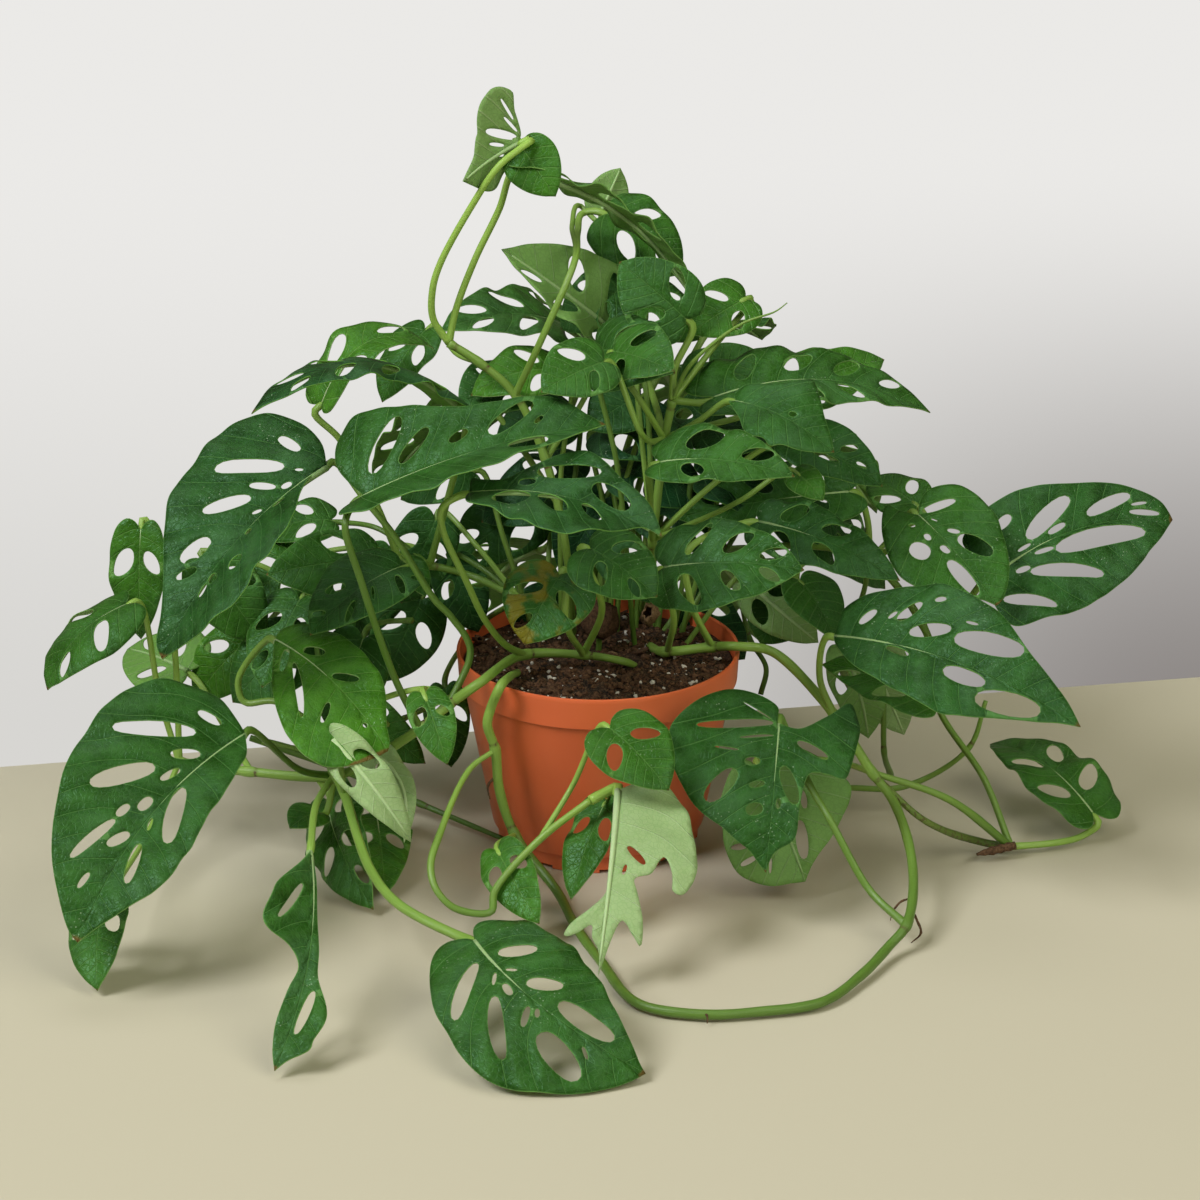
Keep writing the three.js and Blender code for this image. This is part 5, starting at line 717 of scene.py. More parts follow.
def leaf_under(veins):
    """Lower face: paler and duller, with raised veins."""
    material, s, shader = finish_of("leaf_under", 0.55, 0.3)
    v = use(s, veins)
    tone = s.attribute("tone")
    cloud = s.noise(s.place(), 60, 3, 0.6)
    deep = s.mix(cloud, (0.070, 0.215, 0.014), (0.115, 0.295, 0.028))
    fresh = s.mix(cloud, (0.270, 0.410, 0.165), (0.370, 0.510, 0.250))
    colour = s.mix(tone, deep, fresh)
    light = s.mix(tone, (0.20, 0.34, 0.12), (0.50, 0.66, 0.36))
    dark = s.mix(tone, (0.055, 0.140, 0.035), (0.19, 0.34, 0.11))
    colour = s.mix(s.math("MULTIPLY", v["Net"], 0.30), colour, dark)
    colour = s.mix(s.math("MULTIPLY", v["Side"], 0.50), colour, light)
    colour = s.mix(s.math("MULTIPLY", v["Rib"], 0.75), colour, light)
    s.feed(shader["Base Color"], colour)
    s.feed(shader["Roughness"], s.math("MULTIPLY_ADD", cloud, 0.2, 0.42))
    height = s.pile((v["Rib"], 0.8), (v["Side"], 0.6), (v["Net"], 0.12), (v["Quilt"], 0.35))
    s.feed(shader["Normal"], s.bump(height, 0.0006, 0.9))
    shader["Specular Tint"].default_value = (0.7, 1.0, 0.7, 1)
    let_light_in(shader, 0.15, (0.0014, 0.003, 0.0007))
    return material


def stem_skin():
    """Living stem: streaks along it, brown rings at its nodes, paler where it is young."""
    material, s, shader = finish_of("stem_skin", 0.4, 0.45)
    tone = s.attribute("tone")
    run = s.combine(s.math("MULTIPLY", s.attribute("round"), 6.0),
                    s.math("MULTIPLY", s.attribute("along"), 0.05), tone)
    streak = s.noise(run, 1.6, 3, 0.6)
    cloud = s.noise(s.place(), 70, 2)
    old = s.mix(streak, (0.024, 0.078, 0.005), (0.062, 0.160, 0.014))
    young = s.mix(streak, (0.240, 0.450, 0.050), (0.430, 0.640, 0.150))
    colour = s.mix(tone, old, young)
    colour = s.mix(s.math("MULTIPLY", cloud, 0.35), colour, s.mix(tone, (0.04, 0.11, 0.012), (0.22, 0.40, 0.05)))
    ring = s.attribute("ring")
    speck = s.span(s.noise(s.place(), 500, 2), 0.50, 0.62)
    scar = s.math("MULTIPLY", s.span(ring, 0.25, 0.8), s.math("MULTIPLY_ADD", speck, 0.6, 0.4))
    colour = s.mix(scar, colour, (0.085, 0.045, 0.020))
    s.feed(shader["Base Color"], colour)
    s.feed(shader["Roughness"], s.math("MULTIPLY_ADD", streak, 0.2, s.math("MULTIPLY_ADD", ring, 0.25, 0.30)))
    s.feed(shader["Normal"], s.bump(s.math("MULTIPLY_ADD", speck, 0.2, streak), 0.0004, 0.6))
    let_light_in(shader, 0.12, (0.002, 0.003, 0.001))
    return material


def pot_plastic():
    """Moulded plastic, faintly streaked and dusty at the foot."""
    material, s, shader = finish_of("terracotta_plastic", 0.4, 0.5)
    spot = s.place()
    cloud = s.noise(spot, 18, 3, 0.55)
    grain = s.noise(spot, 1400, 2)
    part = s.split(spot)
    flow = s.combine(*(s.math("MULTIPLY", p, k) for p, k in zip(part, (30, 30, 3))))
    streak = s.noise(flow, 1.0, 3)
    colour = s.mix(cloud, (0.68, 0.125, 0.038), (0.77, 0.155, 0.050))
    colour = s.mix(s.span(streak, 0.35, 0.75, 0, 0.3), colour, (0.74, 0.195, 0.066))
    dust = s.span(s.noise(spot, 260, 4, 0.7), 0.60, 0.72, 0, 0.35)
    low = s.span(part[2], 0.0, 0.03, 1, 0)
    colour = s.mix(s.math("MULTIPLY", dust, low), colour, (0.30, 0.17, 0.10))
    s.feed(shader["Base Color"], colour)
    s.feed(shader["Roughness"], s.math("MULTIPLY_ADD", cloud, 0.16, 0.32))
    s.feed(shader["Normal"], s.bump(grain, 0.0002, 0.35))
    shader["Subsurface Weight"].default_value = 0.05
    shader["Subsurface Radius"].default_value = (0.004, 0.001, 0.0005)
    return material


def potting_mix():
    """Damp peat with paler fibres."""
    material, s, shader = finish_of("potting_mix", 0.85, 0.3)
    spot = s.place()
    fine = s.noise(spot, 800, 4, 0.7)
    patch = s.noise(spot, 120, 3, 0.6)
    colour = s.mix(s.span(patch, 0.35, 0.65), (0.009, 0.005, 0.004), (0.055, 0.028, 0.015))
    colour = s.mix(s.span(fine, 0.48, 0.66), colour, (0.210, 0.125, 0.068))
    s.feed(shader["Base Color"], colour)
    s.feed(shader["Roughness"], s.math("MULTIPLY_ADD", fine, 0.3, 0.62))
    s.feed(shader["Normal"], s.bump(fine, 0.0015, 1.0))
    return material


def perlite():
    """White grains with a chalky face."""
    material, s, shader = finish_of("perlite", 0.9, 0.2)
    fine = s.noise(s.place(), 1500, 3)
    s.feed(shader["Base Color"], s.mix(fine, (0.52, 0.47, 0.38), (0.96, 0.93, 0.86)))
    s.feed(shader["Normal"], s.bump(fine, 0.0006, 0.9))
    return material


def dry_husk(name, dark, pale):
    """Bark chips, dead sheaths and roots: fibrous and dull."""
    material, s, shader = finish_of(name, 0.8, 0.25)
    spot = s.place()
    fibre = s.noise(spot, 700, 4, 0.7)
    s.feed(shader["Base Color"], s.mix(s.span(fibre, 0.3, 0.7), dark, pale))
    s.feed(shader["Normal"], s.bump(fibre, 0.0008, 0.9))
    return material


# ------------------------------------------------------------------ curves and bending
def crowd(points, steps):
    """A smooth line through 2-D points, with that many steps between neighbours."""
    p = np.asarray(points, float)
    out = []
    for i in range(len(p) - 1):
        a, b, c, d = p[max(i - 1, 0)], p[i], p[i + 1], p[min(i + 2, len(p) - 1)]
        for k in range(steps):
            t = k / steps
            out.append(0.5 * (2 * b + (c - a) * t + (2 * a - 5 * b + 4 * c - d) * t * t
                              + (3 * b - a - 3 * c + d) * t ** 3))
    return np.array([*out, p[-1]])


def course(points, step):
    """The stem's smooth course through its route, at even steps: the same curve as its solid's."""
    p = [np.asarray(q, float) for q in points]
    p = [2 * p[0] - p[1], *p, 2 * p[-1] - p[-2]]
    line = []
    for a, b, c, d in zip(p, p[1:], p[2:], p[3:]):
        t0, t1, t2 = (max(np.linalg.norm(m - n), 1e-6) ** 0.5 for m, n in ((b, a), (c, b), (d, c)))
        m1 = ((b - a) / t0 - (c - a) / (t0 + t1) + (c - b) / t1) * t1
        m2 = ((c - b) / t1 - (d - b) / (t1 + t2) + (d - c) / t2) * t1
        for t in np.linspace(0, 1, 24, endpoint=False):
            line.append(b + m1 * t + (3 * (c - b) - 2 * m1 - m2) * t * t + (2 * (b - c) + m1 + m2) * t ** 3)
    line = np.array([*line, p[-2]])
    run = np.concatenate([[0], np.cumsum(np.linalg.norm(np.diff(line, axis=0), axis=1))])
    at = np.linspace(0, run[-1], max(4, round(run[-1] / step) + 1))
    return np.stack([np.interp(at, run, line[:, k]) for k in range(3)], axis=1), at


def unit(v):
    return v / np.maximum(np.linalg.norm(v, axis=-1, keepdims=True), 1e-9)


class Leaf:
    """One row of LEAVES, bent into place: at(v, u) is v mm across the rib and a share u along it."""

    def __init__(self, row):
        self.name, base, tip, self.width, facing, self.arch, self.sway, self.fold, self.curl, self.twist = row[:10]
        self.lobe = row[10] if len(row) > 10 else 1
        self.start = np.array(base, float)
        along = np.array(tip, float) - self.start
        self.length = float(np.linalg.norm(along))
        self.along = along / self.length
        facing = np.array(facing, float)
        self.up = unit(facing - self.along * (facing @ self.along))
        self.across = np.cross(self.along, self.up)

    def rib(self, u):
        bow = self.length * np.where(u < 0, 4 * u, np.where(u > 1, 4 * (1 - u), 4 * u * (1 - u)))
        return (self.start + np.outer(u * self.length, self.along) + np.outer(self.arch * bow, self.up)
                + np.outer(self.sway * bow, self.across))

    def at(self, v, u):
        v, u = np.atleast_1d(v).astype(float), np.atleast_1d(u).astype(float)
        run = unit(self.rib(u + 0.01) - self.rib(u - 0.01))
        side = unit(self.across - run * (run @ self.across)[:, None])
        rise = np.cross(side, run)
        turn = np.radians(self.twist * (u - 0.5))[:, None]
        side = side * np.cos(turn) + rise * np.sin(turn)
        rise = np.cross(side, run)
        half = (v > 0).astype(int)
        fold = np.radians(np.array(self.fold, float))[half]
        k = (np.radians(np.array(self.curl, float)) / np.array(self.width, float))[half]
        a = np.abs(v)
        flat = np.abs(k) < 1e-6
        safe = np.where(flat, 1, k)
        out = np.where(flat, a * np.cos(fold), (np.sin(fold + k * a) - np.sin(fold)) / safe)
        lift = np.where(flat, a * np.sin(fold), (np.cos(fold) - np.cos(fold + k * a)) / safe)
        return self.rib(u) + side * (out * np.sign(v))[:, None] + rise * lift[:, None]

    def normal(self, v, u):
        """The upper face's normal, averaged over the two halves at the rib."""
        e = 0.2
        total = 0
        for sign in (-1, 1):
            w = np.where(np.abs(v) < e, sign * e, v)
            a = self.at(w + e / 2, u) - self.at(w - e / 2, u)
            b = self.at(w, u + e / self.length) - self.at(w, u - e / self.length)
            total = total + unit(np.cross(a, b))
        return unit(total)


# ------------------------------------------------------------------ blades
def oval(hole, n=18):
    """A hole from end to end, a little fuller than an ellipse."""
    v0, y0, v1, y1, w = hole
    k = w / 2 / math.hypot(v1 - v0, y1 - y0)
    loop = []
    for i in range(n):
        t = 2 * math.pi * i / n
        s, q = 0.5 - 0.5 * math.cos(t), k * math.copysign(abs(math.sin(t)) ** 0.8, math.sin(t))
        loop.append((v0 + (v1 - v0) * s - (y1 - y0) * q, y0 + (y1 - y0) * s + (v1 - v0) * q))
    return loop


def formula_holes(leaf, seed, half):
    """Oblong holes between the side veins of one half, where its solid has them, and short ones by the rib."""
    width, length = leaf.width[half], leaf.length
    rows = min(5, max(2, math.floor(length / 29 + 0.5)))
    pitch = 0.84 * length / rows
    coarse = [(0.36, -0.085), (0.84, 0.02), (1, 0.25), (0.93, 0.48), (0.66, 0.73), (0.36, 0.88), (0.13, 0.955)]
    edge = [(x * width, y * length) for x, y in coarse]

    def reach(y):
        for (x0, y0), (x1, y1) in zip(edge, edge[1:]):
            if y0 <= y < y1:
                return x0 + (x1 - x0) * (y - y0) / (y1 - y0)
        return 0

    seed += half * 5
    sign = 1 if half else -1
    found = []
    for k in range(rows):
        y0 = 0.02 * length + (k + 0.5) * pitch
        slope = 0.15 + 0.75 * y0 / length

        def vein(x):
            return y0 + slope * x + 0.25 * x * x / width
        far = 0
        while far < width and far < reach(vein(far)):
            far += 0.5
        if far < 11:
            continue
        inner = far * (0.26 + 0.05 * jitter(seed, k))
        outer = far * (0.76 + 0.05 * jitter(seed, k + 9))
        half_width = pitch * (0.27 + 0.05 * jitter(seed, k + 17))
        near, far = inner - 0.05 * far, outer + 0.09 * far
        loop = []
        for i in range(20):
            t = 2 * math.pi * i / 20
            x = near + (far - near) * (0.5 - 0.5 * math.cos(t))
            d = 0.88 * half_width * math.copysign(abs(math.sin(t)) ** 0.85, math.sin(t))
            loop.append((sign * x, vein(x) + d))
        found.append(loop)
        if inner > 4.5 and jitter(seed, k + 31) > -0.4:
            x, d = inner * 0.52, pitch * (0.12 + 0.03 * jitter(seed, k + 5))
            found.append([(sign * (x + 0.30 * inner * math.cos(t)), vein(x) + d * math.sin(t))
                          for t in np.linspace(0, 2 * math.pi, 10, endpoint=False)])
    return found


def inside(points, loop):
    """Which points lie inside a closed loop."""
    x, y = points[:, 0][:, None], points[:, 1][:, None]
    a = np.asarray(loop, float)
    b = np.roll(a, -1, axis=0)
    crosses = ((a[:, 1] > y) != (b[:, 1] > y)) & (
        x < (b[:, 0] - a[:, 0]) * (y - a[:, 1]) / np.where(b[:, 1] == a[:, 1], 1e-12, b[:, 1] - a[:, 1]) + a[:, 0])
    return crosses.sum(axis=1) % 2 == 1


def distance(points, loop):
    """How far each point is from a closed loop."""
    a = np.asarray(loop, float)
    ab = np.roll(a, -1, axis=0) - a
    t = ((points[:, None, :] - a) * ab).sum(-1) / np.maximum((ab * ab).sum(-1), 1e-9)
    near = a + np.clip(t, 0, 1)[..., None] * ab
    return np.linalg.norm(points[:, None, :] - near, axis=-1).min(axis=1)


def even(line, step):
    """The line again with its points that far apart."""
    line = np.asarray(line, float)
    run = np.concatenate([[0], np.cumsum(np.linalg.norm(np.diff(line, axis=0), axis=1))])
    at = np.linspace(0, run[-1], max(3, round(run[-1] / step) + 1))
    return np.stack([np.interp(at, run, line[:, k]) for k in range(2)], axis=1)


def flat_blade(leaf, seed, own):
    """The flat blade as points, triangles and what is measured on it."""
    length = leaf.length
    edges = []
    for half, side in ((1, "right"), (0, "left")):
        if side in own:
            line = [(0, 0), *own[side], (0, length)]
        else:
            line = [(0, 0), *[(x * leaf.width[half], (y * leaf.lobe if y < 0 else y) * length)
                              for x, y in HALF_LEAF], (0, length)]
        line = even(crowd(line, 6), MESH * 0.75)
        line[:, 0] = np.maximum(line[:, 0], 0) * (1 if half else -1)
        edges.append(line)
    outline = np.concatenate([edges[0], edges[1][-2:0:-1]])
    loops = []
    if "holes" in own:
        loops = [oval(hole) for hole in own["holes"] + own.get("small", [])]
    elif leaf.length > 38:
        loops = formula_holes(leaf, seed, 1) + formula_holes(leaf, seed, 0)
    # a hole keeps clear of the edge and of the holes before it
    kept = []
    for loop in loops:
        loop = np.array(loop)
        if not inside(loop, outline).all() or distance(loop, outline).min() < 0.8:
            continue
        if any(distance(loop, other).min() < 0.7 or inside(loop[:1], other)[0] for other in kept):
            continue
        kept.append(loop)
    rib = [(0, y) for y in np.linspace(0, length, max(4, round(length / MESH)) + 1)][1:-1]
    rib = [q for q in rib if all(distance(np.array([q]), loop)[0] > 0.3 and not inside(np.array([q]), loop)[0]
                                 for loop in kept)]
    low, high = outline.min(axis=0), outline.max(axis=0)
    rows = np.arange(low[1], high[1], MESH * 0.87)
    rng = np.random.default_rng(seed)
    grid = np.array([(x + (i % 2) * MESH / 2, y) for i, y in enumerate(rows)
                     for x in np.arange(low[0], high[0] + MESH, MESH)])
    grid += rng.uniform(-0.18, 0.18, grid.shape) * MESH
    grid = grid[inside(grid, outline) & (np.abs(grid[:, 0]) > MESH * 0.55)]
    for loop in [outline, *kept]:
        grid = grid[distance(grid, loop) > MESH * 0.55]
        if loop is not outline:
            grid = grid[~inside(grid, loop)]
    points, lines = [], []
    for loop in [outline, *kept]:
        first = len(points)
        points += [tuple(q) for q in loop]
        lines += [(first + i, first + (i + 1) % len(loop)) for i in range(len(loop))]
    points += rib + [tuple(q) for q in grid]
    flat, _, faces, *_ = delaunay_2d_cdt([Vector(q) for q in points], lines, [], 0, 1e-4)
    flat = np.array([tuple(q) for q in flat])
    faces = np.array([tuple(f) for f in faces])
    middle = flat[faces].mean(axis=1)
    keep = inside(middle, outline)
    for loop in kept:
        keep &= ~inside(middle, loop)
    faces = faces[keep]
    a, b, c = (flat[faces[:, k]] for k in range(3))
    area = (b[:, 0] - a[:, 0]) * (c[:, 1] - a[:, 1]) - (c[:, 0] - a[:, 0]) * (b[:, 1] - a[:, 1])
    faces = faces[np.abs(area) > 1e-5]
    area = area[np.abs(area) > 1e-5]
    faces[area < 0] = faces[area < 0][:, ::-1]
    used = np.unique(faces)
    again = np.full(len(flat), -1)
    again[used] = np.arange(len(used))
    flat, faces = flat[used], again[faces]
    edge = np.min([distance(flat, loop) for loop in [outline, *kept]], axis=0)
    rim = np.min([distance(flat, loop) for loop in kept], axis=0) if kept else np.full(len(flat), 99.0)
    return flat, faces, edge, rim


def mesh_object(name, points, faces, materials, numbers=None, slots=None):
    """A new mesh object from millimetre points, with point attributes."""
    mesh = bpy.data.meshes.new(name)
    mesh.from_pydata([tuple(p) for p in np.asarray(points) * MM], [], [tuple(int(i) for i in f) for f in faces])
    for material in materials:
        mesh.materials.append(material)
    for label, values in (numbers or {}).items():
        layer = mesh.attributes.new(label, "FLOAT", "POINT")
        layer.data.foreach_set("value", np.asarray(values, np.float32))
    if slots is not None:
        mesh.polygons.foreach_set("material_index", np.asarray(slots, np.int32))
    mesh.polygons.foreach_set("use_smooth", [True] * len(mesh.polygons))
    mesh.update()
    piece = bpy.data.objects.new(name, mesh)
    bpy.context.scene.collection.objects.link(piece)
    return piece


def pick(piece):
    """Makes a piece the one that the next operator works on."""
    bpy.ops.object.select_all(action="DESELECT")
    piece.select_set(True)
    bpy.context.view_layer.objects.active = piece


def apply_modifiers(piece):
    pick(piece)
    for modifier in list(piece.modifiers):
        bpy.ops.object.modifier_apply(modifier=modifier.name)


def join(pieces, name):
    pick(pieces[0])
    for piece in pieces:
        piece.select_set(True)
    if len(pieces) > 1:
        bpy.ops.object.join()
    pieces[0].name = pieces[0].data.name = name
    return pieces[0]


def blade(row, seed, name, upper, under):
    """One leaf: the bent, quilted blade with its thickness, and the rib's ridge on its underside."""
    leaf = Leaf(row)
    own = OWN.get(leaf.name, {})
    flat, faces, edge, rim = flat_blade(leaf, seed, own)
    v, y = flat[:, 0], flat[:, 1]
    u = y / leaf.length
    width = np.where(v > 0, leaf.width[1], leaf.width[0])
    a = np.abs(v)
    # side veins leave the rib and curve forward; phase counts them
    start = (y - 0.15 * a - 0.25 * a * a / width) / (1 + 0.75 * a / leaf.length)
    gap = max(5.5, min(VEIN_GAP, leaf.length / 8))
    phase = start / gap + np.where(v > 0, 0.0, 0.5) + 0.12 * np.sin(a / 9 + seed)
    calm = np.clip(a / 6, 0, 1) * np.clip(edge / 3, 0, 1) * np.clip(leaf.length / 80, 0.3, 1)
    quilt = -QUILT * np.cos(2 * math.pi * phase) * calm
    groove = -GROOVE * np.exp(-(v / 1.2) ** 2) * (1 - 0.6 * u)
    wave = (np.sin(2 * math.pi * (y / 31 + 0.17 * seed)) * 0.9
            + np.sin(2 * math.pi * (y / 17 + 0.31 * seed)) * 0.45)
    wave *= np.clip(a / width, 0, 1) ** 2 * min(1, leaf.length / 90) * np.where(v > 0, 1, -1)
    wave *= RIPPLE_OWN if own else RIPPLE
    lip = LIP * np.exp(-(rim / 1.6) ** 2)
    swell = (np.sin(v / 7.3 + seed) * np.sin(y / 9.7 + 2 * seed)
             + 0.6 * np.sin(v / 12.1 - y / 15.3 + 3 * seed))
    swell *= SWELL * np.clip(a / 8, 0, 1) * min(1, leaf.length / 80)
    points = leaf.at(v, u) + leaf.normal(v, u) * (quilt + groove + wave + lip + swell)[:, None]
    turned = leaf.name in UNDERSIDE_UP
    tone = TONE.get(leaf.name, 0.30 + 0.14 * jitter(seed, 3)) + 0.06 * jitter(seed, 11)
    # painted shade: leaves low inside the crown get a darker tone, standing in for the shade of the leaves around
    # and above them
    painted_crown_shade = 1 - math.hypot(leaf.start[0], leaf.start[1] - 20) / 125
    tone = max(0, tone - 0.34 * max(0, painted_crown_shade) * min(1, max(0, (270 - leaf.start[2]) / 80)))
    numbers = {"across": v, "along": y, "share": u, "vein": phase, "gap": np.full(len(v), gap), "edge": edge,
               "tone": np.full(len(v), tone), "aged": np.full(len(v), float(leaf.name in AGED))}
    piece = mesh_object(name, points, faces, [under, upper] if turned else [upper, under], numbers)
    solid = piece.modifiers.new("thickness", "SOLIDIFY")
    solid.thickness = BLADE_FINE * MM
    solid.offset = 0
    solid.use_rim = True
    solid.material_offset = 1
    solid.material_offset_rim = 0 if turned else 1
    apply_modifiers(piece)
    return join([piece, rib_ridge(leaf, tone, turned, under)], name)


def rib_ridge(leaf, tone, turned, under):
    """The raised midrib under a blade, from the stalk to near the tip."""
    u = np.linspace(0, 0.93, max(6, round(leaf.length / 4)))
    thick = 1.5 * min(1, leaf.length / 110 + 0.25) * (1 - u) ** 0.8 + 0.35
    side = 1 if turned else -1
    up = leaf.normal(np.zeros_like(u), u)
    line = leaf.rib(u) + up * (side * (0.38 + 0.35 * thick))[:, None] - up * 0.45 * (1 - 0.6 * u)[:, None]
    numbers = {"tone": tone + 0.12, "aged": 0, "across": 0, "share": 0.1, "vein": 0.5, "gap": 9, "edge": 5}
    return tube_object("ridge", line, thick, 8, [under], numbers, u * leaf.length)


# ------------------------------------------------------------------ stems
def tube_points(line, radius, sides, hint=None, shape=None):
    """Rings of points round a line; hint is the side that angle 0 keeps to, shape(angle, k) scales the radius."""
    run = unit(np.gradient(line, axis=0))
    side = np.zeros_like(line)
    first = np.array(hint if hint is not None else (0.3, 0.5, 1.0), float)
    last = unit(first - run[-1] * (first @ run[-1]))
    for k in range(len(line) - 1, -1, -1):
        last = unit(last - run[k] * (last @ run[k]))
        side[k] = last
    other = np.cross(run, side)
    turn = np.linspace(0, 2 * math.pi, sides, endpoint=False)
    rings = []
    for k in range(len(line)):
        r = radius[k] * (shape(turn, k) if shape else 1)
        rings.append(line[k] + side[k] * (np.cos(turn) * r)[:, None] + other[k] * (np.sin(turn) * r)[:, None])
    return np.array(rings), turn


def tube_object(name, line, radius, sides, materials, numbers, along, hint=None, shape=None):
    """A closed round tube along a line, with its numbers spread over its points."""
    radius = np.broadcast_to(np.asarray(radius, float), len(line))
    rings, turn = tube_points(line, radius, sides, hint, shape)
    n = len(line)
    points = np.concatenate([rings.reshape(-1, 3), line[:1], line[-1:]])
    faces = []
    for k in range(n - 1):
        for i in range(sides):
            j = (i + 1) % sides
            faces.append((k * sides + i, k * sides + j, (k + 1) * sides + j, (k + 1) * sides + i))
    for i in range(sides):
        j = (i + 1) % sides
        faces.append((n * sides, j, i))
        faces.append((n * sides + 1, (n - 1) * sides + i, (n - 1) * sides + j))
    spread = {"round": np.concatenate([np.tile(np.abs(turn / math.pi - 1), n), [0, 0]]),
              "along": np.concatenate([np.repeat(along, sides), [along[0], along[-1]]])}
    for label, value in numbers.items():
        if np.ndim(value):
            spread[label] = np.concatenate([np.repeat(value, sides), [value[0], value[-1]]])
        else:
            spread[label] = np.full(len(points), float(value))
    return mesh_object(name, points, faces, materials, spread)


def stalk_end(leaf, radius, fused):
    """A stalk's last two points bring it in under the blade that it carries."""
    before = leaf.start - leaf.up * (radius + BASE_UNDER) * 0.8 - leaf.along * BASE_BEHIND * 0.6
    if fused:
        return [before, leaf.start + leaf.along * 4 + leaf.up * 0.8]
    return [before, leaf.start - leaf.up * (radius + BLADE / 2 + FIT + 0.05)]


def stalk(route, leaf, radius, tone, skin):
    """A leaf stalk: sheathed and grooved at its foot, with a swollen joint under the blade."""
    fused = leaf.name.startswith("sprout")
    end = stalk_end(leaf, radius, fused)
    if not fused:
        end[-1] = leaf.start - leaf.up * radius * 0.5 + leaf.along * 2.0
    radius *= STALK_THIN
    line, along = course([*route, *end], 2.4)
    left = along[-1] - along
    sheath = np.clip(1 - along / max(12, 0.42 * along[-1]), 0, 1) * np.clip(along / 5, 0, 1)
    size = radius * (1 + 0.16 * np.exp(-((left - 7) / 5) ** 2) + 0.12 * np.exp(-(along / 6) ** 2))
    size *= np.clip(0.55 + left / 4, 0, 1)

    def shape(turn, k):
        off = np.abs((turn + math.pi) % (2 * math.pi) - math.pi)
        groove = -0.22 * np.exp(-(off / 0.45) ** 2) * np.clip(left[k] / 8, 0, 1)
        wings = 0.28 * sheath[k] * np.exp(-((off - 0.75) / 0.25) ** 2)
        return 1 + groove + wings
    ring = 0.9 * np.exp(-((left - 13.5) / 0.9) ** 2) * 0.5
    return tube_object("stalk", line, size, 12, [skin], {"tone": tone, "ring": ring}, along, leaf.up, shape)


def vine(route, radius, tone, joints, skin, spear=False, scarred=False):
    """A trailing stem: a little swollen and ringed at each joint that a stalk leaves from."""
    radius *= VINE_THIN
    line, along = course(route, 2.2)
    marks = sorted({round(float(along[np.linalg.norm(line - np.array(j), axis=1).argmin()]), 1)
                    for j in joints if np.linalg.norm(line - np.array(j), axis=1).min() < 3})
    size = np.full(len(line), float(radius))
    ring = np.zeros(len(line))
    for mark in marks:
        size *= 1 + 0.20 * np.exp(-((along - mark) / 3.6) ** 2)
        size *= 1 - 0.07 * np.exp(-((along - mark + 4.6) / 0.8) ** 2)
        ring = np.maximum(ring, 0.85 * np.exp(-((along - mark + 4.2) / 0.9) ** 2))
        ring = np.maximum(ring, 0.35 * np.exp(-((along - mark) / 2.5) ** 2))
    size *= np.clip(0.72 + along / 260, 0.72, 1)
    size *= 1 + 0.025 * np.sin(along / 9.0) + 0.02 * np.sin(along / 3.7 + radius)
    if spear:
        size *= np.clip(1.1 - along / along[-1], 0.12, 1) ** 0.8
    low, high = tone
    shade = low + (high - low) * np.clip((line[:, 2] - 12) / 50, 0, 1)
    if scarred:
        ring = np.maximum(ring, 0.62)
    return tube_object("vine", line, size, 14, [skin], {"tone": shade, "ring": ring}, along)


# ------------------------------------------------------------------ pot
def ring_of(radius, z, sides=120):
    """The circle that the pot is drawn up from, with its place in its mesh."""
    bpy.ops.mesh.primitive_circle_add(vertices=sides, radius=radius * MM, location=(0, 0, z * MM))
    bpy.ops.object.transform_apply(location=True, rotation=False, scale=False)
    return bpy.context.object


